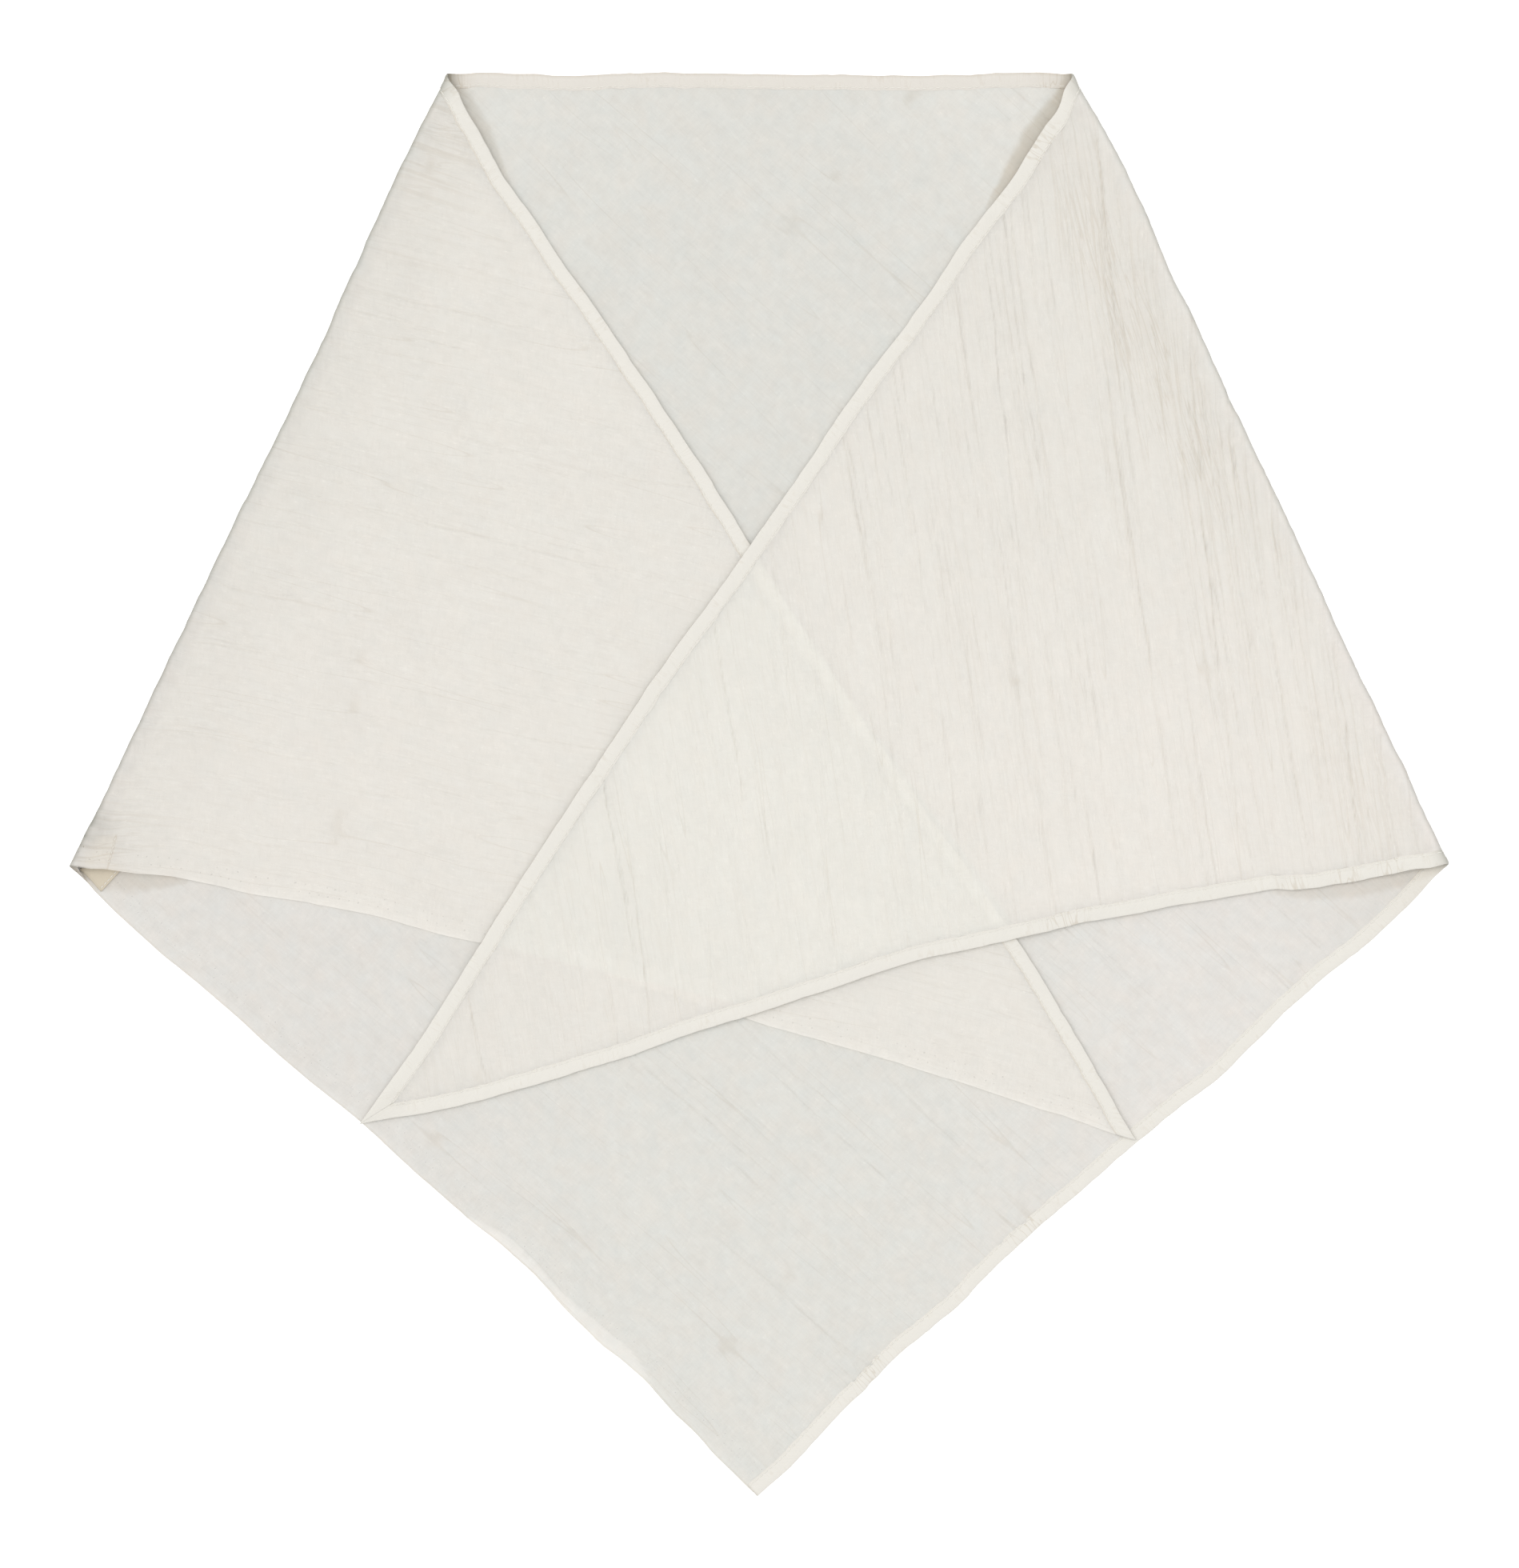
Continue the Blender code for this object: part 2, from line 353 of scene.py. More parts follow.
def flap_height(p, fold):
    """Height of a flap's cloth where it is clear of its fold."""
    over = 0 if fold is LEFT_FOLD else over_left_flap(p)
    height = FLAP_HEIGHT + (OVER_FLAP_HEIGHT - FLAP_HEIGHT) * over
    for centre, radius, rise in LIFTS[fold]:
        height = height + rise * MM * np.exp(-((p - centre) ** 2).sum(1) / radius**2)
    return height + 0.15 * MM * noise(p[:, 0] / 0.05, p[:, 1] / 0.05, 31)


def back_height(p):
    return BACK_HEIGHT + 0.1 * MM * noise(p[:, 0] / 0.06, p[:, 1] / 0.06, 32)


def quarter_of_ellipse(a, b):
    """Ramanujan's length of a quarter of an ellipse."""
    return math.pi / 4 * (3 * (a + b) - np.sqrt((3 * a + b) * (a + 3 * b)))


def folded(p, fold):
    """Folds unfolded points that are nearer to this fold than to the other one."""
    beyond = -fold.inside_of(p)
    on_flap = beyond > 0
    along = np.clip(fold.along_of(p), 0, fold.length)
    radius = swell(fold, along, ROLL_RADIUS)
    shoulder = np.where(on_flap, FLAP_SHOULDER, 1.3 * radius)
    quarter = quarter_of_ellipse(shoulder, radius)
    spare = quarter - shoulder
    arc = np.abs(beyond)
    arc = arc + spare * np.minimum(arc / FOLD_REACH, 1)
    turn = np.minimum(arc / quarter, 1) * math.pi / 2
    past = np.maximum(arc - quarter, 0)
    inside = shoulder * (1 - np.cos(turn)) + past

    plan = p + (inside - fold.inside_of(p))[:, None] * fold.inward
    guard = ease(inside / 0.018)
    moved = plan + fold.pull(plan, 1.0)
    for edge in BACK_EDGES:
        moved += edge.pull(plan, guard * ~on_flap)
    for edge in FLAP_EDGES[fold]:
        moved += edge.pull(plan, guard * on_flap)

    low = back_height(plan)
    top = low + 2 * radius
    flap = flap_height(plan, fold)
    flap = flap + (top - flap) * fall(past / swell(fold, along, SLOPE_LENGTH))
    on_roll = low + radius + np.where(on_flap, 1, -1) * radius * np.sin(turn)
    height = np.where(past > 0, np.where(on_flap, flap, low), on_roll)
    return np.column_stack([moved, height])


def smooth_cloth(p):
    """Where unfolded points of the cloth lie, without its crinkles."""
    left = LEFT_FOLD.inside_of(p) < RIGHT_FOLD.inside_of(p)
    placed = np.empty((len(p), 3))
    placed[left] = folded(p[left], LEFT_FOLD)
    placed[~left] = folded(p[~left], RIGHT_FOLD)
    return placed


def cloth_surface(p, lift):
    """Points at a height above the cloth's upper side at unfolded points, crinkles included."""
    here = smooth_cloth(p)
    ahead = smooth_cloth(p + [SLOPE_STEP, 0]) - smooth_cloth(p - [SLOPE_STEP, 0])
    aside = smooth_cloth(p + [0, SLOPE_STEP]) - smooth_cloth(p - [0, SLOPE_STEP])
    normal = np.cross(ahead, aside)
    normal /= np.linalg.norm(normal, axis=1)[:, None]
    return here + (crinkles(p)[0] + lift)[:, None] * normal


# Crinkles ----


def yarn_place(p):
    """Distances along and across the yarns of unfolded points. The yarns lean beyond each fold."""
    past_left = np.maximum(-LEFT_FOLD.inside_of(p), 0)
    past_right = np.maximum(-RIGHT_FOLD.inside_of(p), 0)
    return p @ WARP, p @ WEFT + 0.10 * past_left + 0.34 * past_right


class Crease:
    """A crease along the warp: a narrow valley with a ridge beside it, and painted shade along the
    valley.
    """

    def __init__(self, centre, random, length, depth, width, stain=1.1):
        self.s, self.t = (float(x[0]) for x in yarn_place(centre[None]))
        self.half = length * random.uniform(0.4, 1.0) / 2
        self.depth = depth * random.uniform(0.2, 1.0) ** 1.5
        self.width = width * random.uniform(0.7, 1.3) * MM
        self.side = random.choice([-1.0, 1.0])
        self.slant = random.normal(0, 0.03)
        self.stain, self.seed = stain, int(random.integers(1, 9999))

    def add_to(self, height, shade, s, t, order, sorted_t):
        """Adds to the height and shade of points at s and t, which order puts by rising t."""
        reach = 5 * self.width + self.half * 0.12
        first, last = np.searchsorted(sorted_t, [self.t - reach, self.t + reach])
        at = order[first:last]
        at = at[np.abs(s[at] - self.s) < self.half]
        u = (s[at] - self.s) / self.half
        sway = noise(s[at] / 0.025, 0, self.seed) + 0.5 * noise(s[at] / 0.009, 0, self.seed + 1)
        across = (t[at] - self.t - self.slant * (s[at] - self.s) - 0.7 * MM * sway) / self.width
        across *= self.side
        strength = self.depth * (1 - u * u) * (1 + 0.5 * noise(s[at] / 0.006, 0, self.seed + 2))
        core = np.exp(-(across**2))
        height[at] += MM * strength * (0.6 * np.exp(-((across - 1.9) ** 2) / 1.8) - core)
        # Painted shade along the crease's valley
        shade[at] += self.stain * strength * np.exp(-2 * across**2)


def scatter(corners, weights, count, seed, **kind):
    """Creases at random places among corners, more of them near a corner with a greater weight."""
    random = np.random.default_rng(seed)
    places = random.dirichlet(weights, count) @ np.array(corners)
    return [Crease(place, random, **kind) for place in places]


def make_creases():
    back = [LEFT, BOTTOM, RIGHT, TOP_RIGHT, TOP_LEFT]
    left = [LEFT, TOP_LEFT, OPEN_LEFT_TIP]
    right = [RIGHT, TOP_RIGHT, OPEN_RIGHT_TIP]
    lower = [BOTTOM, LEFT, RIGHT]
    even, near_fold = (1, 1, 1), (1.2, 1.2, 0.55)
    # The last number of each sets the painted shade along the creases' valleys
    return (
        scatter(back, (1, 1, 1, 1, 1), 240, 11, length=0.06, depth=0.18, width=0.40, stain=0.5)
        + scatter(lower, even, 80, 12, length=0.16, depth=0.30, width=0.42, stain=0.6)
        + scatter(left, (1, 1, 0.7), 240, 13, length=0.06, depth=0.18, width=0.42, stain=0.8)
        + scatter(left, even, 50, 16, length=0.18, depth=0.24, width=0.46, stain=0.8)
        + scatter(right, near_fold, 300, 14, length=0.12, depth=0.25, width=0.42)
        + scatter(right, near_fold, 120, 15, length=0.26, depth=0.42, width=0.48)
    )


CREASES = make_creases()


def bunching(p):
    """How strongly the cloth is bunched at unfolded points, from 0 to about 1."""
    past, along = -RIGHT_FOLD.inside_of(p), RIGHT_FOLD.along_of(p)
    band = fall(np.abs(past - 0.026) / 0.024) * fall(np.abs(along - 0.285) / 0.17)
    low_band = 0.45 * fall(np.abs(past - 0.026) / 0.034) * fall(np.abs(along - 0.05) / 0.11)
    past, along = -LEFT_FOLD.inside_of(p), LEFT_FOLD.along_of(p)
    ends = fall(along / 0.16) + fall((LEFT_FOLD.length - along) / 0.07)
    left_band = 0.7 * fall(np.abs(past - 0.012) / 0.04) * ends
    total = np.maximum(band, low_band) + left_band
    for along, width in [(0.078, 0.016), (0.178, 0.017), (0.02, 0.012), (0.43, 0.012)]:
        distance = np.hypot(LOWER_RIGHT.along_of(p) - along, 0.6 * LOWER_RIGHT.inside_of(p))
        total = total + 0.5 * fall(distance / width / 1.6)
    return total


def pleats(p):
    """Close, narrow pleats, leaning between the warp and the nearer fold. Valleys are at -1."""
    fold_way = np.where((p[:, 0] > 0)[:, None], RIGHT_FOLD.along * [-1, -1], WARP)
    way = WARP + 0.8 * fold_way
    way /= np.linalg.norm(way, axis=1)[:, None]
    s = (p * way).sum(1)
    t = p[:, 1] * way[:, 0] - p[:, 0] * way[:, 1]
    t = t + 1.2 * MM * noise(s / 0.035, t / 0.015, 45)
    broken = 0.62 + 0.5 * noise(s / 0.05, t / 0.006, 46)
    return broken * (1 - 3 * np.abs(noise(s / 0.11, t / 0.0034, 44)))


def crinkles(p):
    """Height of the crinkles at unfolded points, and the painted shade in their creases and pleats.
    """
    s, t = yarn_place(p)
    fine = noise(s / 0.018, t / 0.0017, 41) + 0.6 * noise(s / 0.007, t / 0.0011, 42)
    wide = noise(s / 0.10, t / 0.009, 43)
    pleat = pleats(p) * bunching(p)
    height = (0.022 * fine + 0.08 * wide - 0.28 * pleat) * MM
    height += 0.4 * MM * turned_over(p)
    shade = 0.35 * np.maximum(pleat, 0) ** 2 + 0.06 * bunching(p) + 0.03 * fine
    order = np.argsort(t, kind="stable")
    sorted_t = t[order]
    for crease in CREASES:
        crease.add_to(height, shade, s, t, order, sorted_t)
    return height * held_flat(p), shade * held_flat(p)


def turned_over(p):
    """1 where the back panel's selvedge is turned over on itself, near the pointed corner."""
    along, inside = LOWER_LEFT.along_of(p), LOWER_LEFT.inside_of(p)
    width = curve(along, [(0.243, -1), (0.262, 3.8), (0.30, 3.7), (0.352, 5.2), (0.373, -1)]) * MM
    return fall((inside - width) / (0.8 * MM)) * (LEFT_FOLD.inside_of(p) > 0)


def creasing(p):
    """How thickly small creases cover the cloth at unfolded points, from 0 to 1."""
    on_left, on_right = LEFT_FOLD.inside_of(p) < 0, RIGHT_FOLD.inside_of(p) < 0
    least = np.where(on_right, 0.12, np.where(on_left, 0.06, 0.04))
    return np.minimum(least + 0.85 * bunching(p), 1.0)


def edge_distance(p, edges):
    """Distance in the unfolded plane from the nearest of some edges."""
    nearest = np.full(len(p), 1.0)
    for edge in edges:
        beside = np.abs(edge.along_of(p) - edge.length / 2) < edge.length / 2 + 5 * MM
        nearest = np.where(beside, np.minimum(nearest, np.abs(edge.inside_of(p))), nearest)
    return nearest


def held_flat(p):
    """Crinkles fade where the tape holds the cloth, and along the flat selvedge."""
    taped = edge_distance(p, [TOP, LOWER_RIGHT, OPEN_LONG_LEFT, OPEN_LONG_RIGHT, OPEN_RIGHT_LEG])
    selvedge = edge_distance(p, [LOWER_LEFT, OPEN_SELVEDGE])
    turned = np.minimum(np.abs(RIGHT_FOLD.inside_of(p)), np.abs(LEFT_FOLD.inside_of(p)))
    in_tape = 0.3 + 0.7 * ease((taped - 5 * MM) / (4 * MM))
    on_roll = 0.35 + 0.65 * ease((turned - 5 * MM) / (6 * MM))
    return in_tape * on_roll * (0.35 + 0.65 * ease((selvedge - 6 * MM) / (12 * MM)))


# Meshes ----


def add_mesh(name, points, faces, material, uv=None, closed=False):
    """A smooth piece. uv gives each layer's two measures, one value of each for every point."""
    mesh = bpy.data.meshes.new(name)
    mesh.from_pydata(points.tolist(), [], faces)
    if uv:
        corner = np.zeros(len(mesh.loops), np.int32)
        mesh.loops.foreach_get("vertex_index", corner)
        for layer, measures in uv.items():
            places = np.column_stack(measures)[corner].astype(np.float32)
            mesh.uv_layers.new(name=layer).data.foreach_set("uv", places.ravel())
    shape = bmesh.new()
    shape.from_mesh(mesh)
    bmesh.ops.remove_doubles(shape, verts=shape.verts, dist=1e-6)
    if closed:
        bmesh.ops.recalc_face_normals(shape, faces=shape.faces)
    shape.to_mesh(mesh)
    shape.free()
    mesh.shade_smooth()
    mesh.materials.append(material)
    piece = bpy.data.objects.new(name, mesh)
    bpy.context.collection.objects.link(piece)
    return piece


def grid_faces(rows, columns, closed=False):
    """Quads of a grid of points. closed joins the last column to the first."""
    last = columns if closed else columns - 1
    r, c = np.meshgrid(np.arange(rows - 1), np.arange(last), indexing="ij")
    first, after = r * columns, (c + 1) % columns
    quads = [first + c, first + after, first + columns + after, first + columns + c]
    return np.stack(quads, axis=-1).reshape(-1, 4)


def corner_between(a, b):
    """Where the lines of two edges cross."""
    cross = a.along[0] * b.along[1] - a.along[1] * b.along[0]
    gap = b.start - a.start
    return a.start + a.along * (gap[0] * b.along[1] - gap[1] * b.along[0]) / cross


def moved_in(edge, distance):
    shift = edge.inward * distance
    return Edge(edge.start + shift, edge.end + shift)


def outline(*edges):
    """Corners of the polygon bounded by edges, each of which crosses the next."""
    return np.array([corner_between(edges[i - 1], edge) for i, edge in enumerate(edges)])


def row_ends(corners, t):
    """Least and greatest s of a polygon at each t."""
    low, high = np.full(len(t), np.inf), np.full(len(t), -np.inf)
    st = np.column_stack([corners @ WARP, corners @ WEFT])
    for (s0, t0), (s1, t1) in zip(st, np.roll(st, -1, axis=0)):
        inside = (t >= min(t0, t1) - 1e-9) & (t <= max(t0, t1) + 1e-9)
        level = abs(t1 - t0) < 1e-7
        for s in (s0, s1) if level else [s0 + (s1 - s0) * (t - t0) / (t1 - t0)]:
            low = np.where(inside, np.minimum(low, s), low)
            high = np.where(inside, np.maximum(high, s), high)
    return low, high


def cloth_piece(name, corners, columns, flap, cream, crowding=1.0):
    """A piece of cloth, as rows along the warp that end on the polygon's sides.

    Both flap and cream are functions of unfolded points: flap says how much of the cloth is turned
    up from the back panel to a flap, and cream how creamy it looks. crowding above 1 packs the
    columns closer at the start of each row.
    """
    across = corners @ WEFT
    origin = LEFT @ WEFT
    first = math.ceil((across.min() - origin) / ROW_STEP)
    last = int((across.max() - origin) / ROW_STEP)
    rows = origin + ROW_STEP * np.arange(first, last + 1)
    t = np.unique(np.concatenate([rows, [across.min(), across.max()]]).round(9))
    low, high = row_ends(corners, t)
    s = low[:, None] + (high - low)[:, None] * np.linspace(0, 1, columns) ** crowding
    t = np.broadcast_to(t[:, None], s.shape)
    flat = s.reshape(-1, 1) * WARP + t.reshape(-1, 1) * WEFT
    on_left_flap = LEFT_FOLD.inside_of(flat) < 0
    inside = np.where(on_left_flap, OPEN_SELVEDGE.inside_of(flat), LOWER_LEFT.inside_of(flat))
    before = OPEN_SELVEDGE.along_of(flat) - OPEN_SELVEDGE.length
    along = np.where(on_left_flap, before, LOWER_LEFT.along_of(flat))
    below = outside_left_flap(RIGHT_FOLD.mirror(flat))
    uv = {
        "cloth": yarn_place(flat),
        "selvedge": (along, inside),
        "flap": (flap(flat), crinkles(flat)[1] + plan_shade(flat)),
        "creases": (creasing(flat), cream(flat)),
        "roll": (roll_shade(flat), warmth(flat) * (1 - flap(flat))),
        "opening": openings(flat),
        "below": (below, RIGHT_FOLD.inside_of(flat)),
    }
    points = cloth_surface(flat, np.zeros(len(flat)))
    piece = add_mesh(name, points, grid_faces(*s.shape).tolist(), MUSLIN, uv)
    return piece


# Hems ----


class Hem:
    """A taped edge in the unfolded plane, from corner to corner, with its bends eased.

    start_angle and end_angle say how the tape's ends are cut, from 90 degrees for square to the
    half angle of a mitre. wrinkled gives (distance along, half length) of its puckered stretches.
    """

    def __init__(self, corners, start_angle, end_angle, wrinkled, seed):
        self.edges = [Edge(a, b) for a, b in zip(corners, corners[1:])]
        self.starts = np.cumsum([0] + [edge.length for edge in self.edges])
        self.length = self.starts[-1]
        self.start_slant, self.end_slant = (
            1 / math.tan(math.radians(angle)) for angle in (start_angle, end_angle)
        )
        self.wrinkled = wrinkled
        self.seed = seed

    def distance_to(self, line):
        """How far along this hem it crosses a line."""
        for start, edge in zip(self.starts, self.edges):
            along = edge.along_of(corner_between(edge, line))
            if -1e-6 <= along <= edge.length + 1e-6:
                return start + float(along)
        raise ValueError("the line does not cross the hem")

    def flat(self, along, inside):
        """Unfolded points, at a distance along the hem and in from the edge."""
        along, inside = np.broadcast_arrays(along, inside)
        along = along + inside * self.start_slant * fall(along / MITRE_LENGTH)
        along = along - inside * self.end_slant * fall((self.length - along) / MITRE_LENGTH)
        which = np.searchsorted(self.starts, along, side="right") - 1
        which = np.clip(which, 0, len(self.edges) - 1)
        point = np.zeros(along.shape + (2,))
        for i, edge in enumerate(self.edges):
            on = which == i
            point[on] = edge.point(along[on] - self.starts[i], np.zeros(on.sum()))
        angle = np.full(along.shape, math.atan2(*self.edges[0].along[::-1]))
        for i, (before, after) in enumerate(zip(self.edges, self.edges[1:])):
            bend = before.along[0] * after.along[1] - before.along[1] * after.along[0]
            angle = angle + math.asin(bend) * ease((along - self.starts[i + 1]) / BEND_LENGTH + 0.5)
        inward = np.stack([-np.sin(angle), np.cos(angle)], axis=-1)
        return point + inside[..., None] * inward

    def puckering(self, along):
        total = np.full(np.shape(along), 0.25)
        for centre, half in self.wrinkled:
            total = total + 1.1 * fall(np.abs(along - centre) / half)
        return total

    def ripple(self, along, inside):
        """How far the tape is pushed up or down by its own wrinkles."""
        slanted = along + 0.5 * inside
        wide = noise(slanted / 0.0035, inside / 0.006, self.seed)
        fine = noise(slanted / 0.0016, inside / 0.004, self.seed + 1)
        return 0.22 * MM * self.puckering(along) * (wide + 0.5 * fine)

    def surface(self, along, inside, lift):
        along, inside, lift = (x.ravel() for x in np.broadcast_arrays(along, inside, lift))
        flat = self.flat(along, inside)
        return cloth_surface(flat, lift + self.ripple(along, inside))


def rounded(turn, power):
    return np.sign(turn) * np.abs(turn) ** power


def tape_half(inside):
    """Half the folded tape's thickness, thin where it is sewn down along its inner side."""
    return TAPE_HALF * (1 - 0.75 * ease((inside - 3 * MM) / (TAPE_WIDTH - 3.5 * MM)))


def tape(name, hem, start, end, capped, seam):
    """A length of tape folded over the edge, as a flattened tube. capped closes its two ends.

    seam says how dark its sewn inner side is.
    """
    rings = max(3, int((end - start) / TAPE_STEP) + 1)
    along = np.linspace(start, end, rings)[:, None]
    turn = math.tau * np.arange(TAPE_SIDES)[None, :] / TAPE_SIDES
    edge_wander = 0.22 * MM * noise(along / 0.005, 0, hem.seed + 5) * hem.puckering(along)
    half = TAPE_WIDTH / 2
    inside = half - half * rounded(np.cos(turn), 0.55)
    inner_wander = 0.25 * MM * noise(along / 0.003, 0, hem.seed + 6)
    inside = inside + np.where(inside > half, inner_wander, edge_wander)
    uneven = 1 + 0.12 * noise(along / 0.004, inside / 0.005, hem.seed + 7)
    lift = tape_half(inside) * rounded(np.sin(turn), 0.6) * uneven
    points = hem.surface(along, inside, lift)
    faces = grid_faces(rings, TAPE_SIDES, closed=True).tolist()
    if capped[0]:
        faces.append(list(range(TAPE_SIDES))[::-1])
    if capped[1]:
        faces.append(list(range((rings - 1) * TAPE_SIDES, rings * TAPE_SIDES)))
    along, inside = (x.ravel() for x in np.broadcast_arrays(along, inside))
    flat = hem.flat(along, inside)
    beside_leg = LOWER_RIGHT.inside_of(flat) < TAPE_WIDTH + MM
    uv = {
        "cloth": (along, inside),
        "flap": (np.maximum(inside_folds(flat) < 0, beside_leg), plan_shade(flat) + top_rim(flat)),
        "creases": (np.full(len(flat), seam), hem.puckering(along)),
        "roll": (roll_shade(flat), np.zeros(len(flat))),
        "opening": openings(flat),
    }
    return add_mesh(name, points, faces, TAPE, uv, closed=True)


def stitch_ends(along, inside):
    """Both ends of a row of stitches, from the (start, end) of each measure."""
    return np.stack([np.column_stack([along[i], inside[i]]) for i in (0, 1)], axis=1)


def tube_stitches(name, ends, lifts, place):
    """Stitches as short round threads that dip at both ends, once for each of two lifts.

    ends holds (along, inside) for both ends of each stitch, and place turns (along, inside, lift)
    into points.
    """
    rings, sides = 6, 6
    share = np.linspace(0, 1, rings)[None, :, None]
    turn = (math.tau * np.arange(sides) / sides)[None, None, :]
    lift = np.repeat(lifts, len(ends))[:, None, None]
    ends = np.concatenate([ends, ends])
    start, end = ends[:, 0, :, None, None], ends[:, 1, :, None, None]
    middle = start * (1 - share) + end * share
    run = end - start
    run /= np.linalg.norm(run, axis=1)[:, None]
    radius = STITCH_RADIUS * np.sin(math.pi * (0.08 + 0.84 * share)) ** 0.5
    arch = np.sin(math.pi * share) ** 0.6
    offset = radius * np.cos(turn)
    points = place(
        middle[:, 0] - run[:, 1] * offset,
        middle[:, 1] + run[:, 0] * offset,
        lift + np.sign(lift) * (0.2 * MM * arch - 0.2 * MM + radius * np.sin(turn)),
    )
    size = rings * sides
    firsts = np.arange(len(ends)) * size
    quads = grid_faces(rings, sides, closed=True)[None] + firsts[:, None, None]
    faces = quads.reshape(-1, 4).tolist()
    for first in firsts.tolist():
        faces.append(list(range(first, first + sides))[::-1])
        faces.append(list(range(first + size - sides, first + size)))
    return add_mesh(name, points, faces, THREAD, closed=True)


def hem_stitches(name, hem, start, end):
    """The seam that holds the tape, seen as a row of stitches on each side of it."""
    count = int((end - start) / STITCH_PITCH)
    centre = start + (np.arange(count) + 0.5) * (end - start) / count
    inset = STITCH_INSET + 0.18 * MM * noise(centre / 0.02, 0, hem.seed + 8)
    half = STITCH_LENGTH / 2
    lift = 0.85 * tape_half(STITCH_INSET) + STITCH_RADIUS
    ends = stitch_ends((centre - half, centre + half), (inset, inset))
    return tube_stitches(name, ends, (lift, -lift), hem.surface)


def slab(name, along, inside, surface, material, low, high):
    """A thin closed piece between two lifts over a grid of (along, inside) points."""
    along, inside = np.broadcast_arrays(along, inside)
    rows, columns = along.shape
    shape = rounded(np.sin(np.linspace(0, math.pi, rows)), 0.12)[:, None]
    middle, half = (low + high) / 2, (high - low) / 2 * shape
    top = surface(along, inside, middle + half)
    under = surface(along, inside, middle - half)
    faces = grid_faces(rows, columns)
    first = rows * columns
    rim = [*range(columns - 1), *range(columns - 1, first - 1, columns)]
    rim += [*range(first - 1, first - columns, -1), *range(first - columns, 0, -columns)]
    sides = [(a, b, b + first, a + first) for a, b in zip(rim, rim[1:] + rim[:1])]
    points = np.concatenate([top, under])
    quads = faces.tolist() + (faces[:, ::-1] + first).tolist() + sides
    uv = {"cloth": [np.tile(x.ravel(), 2) for x in (along, inside)]}
    return add_mesh(name, points, quads, material, uv, closed=True)


# Materials ----


class Value:
    """A number worked out by a material's nodes, for ordinary arithmetic."""

    def __init__(self, nodes, socket):
        self.nodes, self.socket = nodes, socket

    def __add__(self, other):
        return self.nodes.math("ADD", self, other)

    def __sub__(self, other):
        return self.nodes.math("SUBTRACT", self, other)

    def __mul__(self, other):
        return self.nodes.math("MULTIPLY", self, other)

    def __truediv__(self, other):
        return self.nodes.math("DIVIDE", self, other)

    def __pow__(self, other):
        return self.nodes.math("POWER", self, other)

    def __abs__(self):
        return self.nodes.math("ABSOLUTE", self)


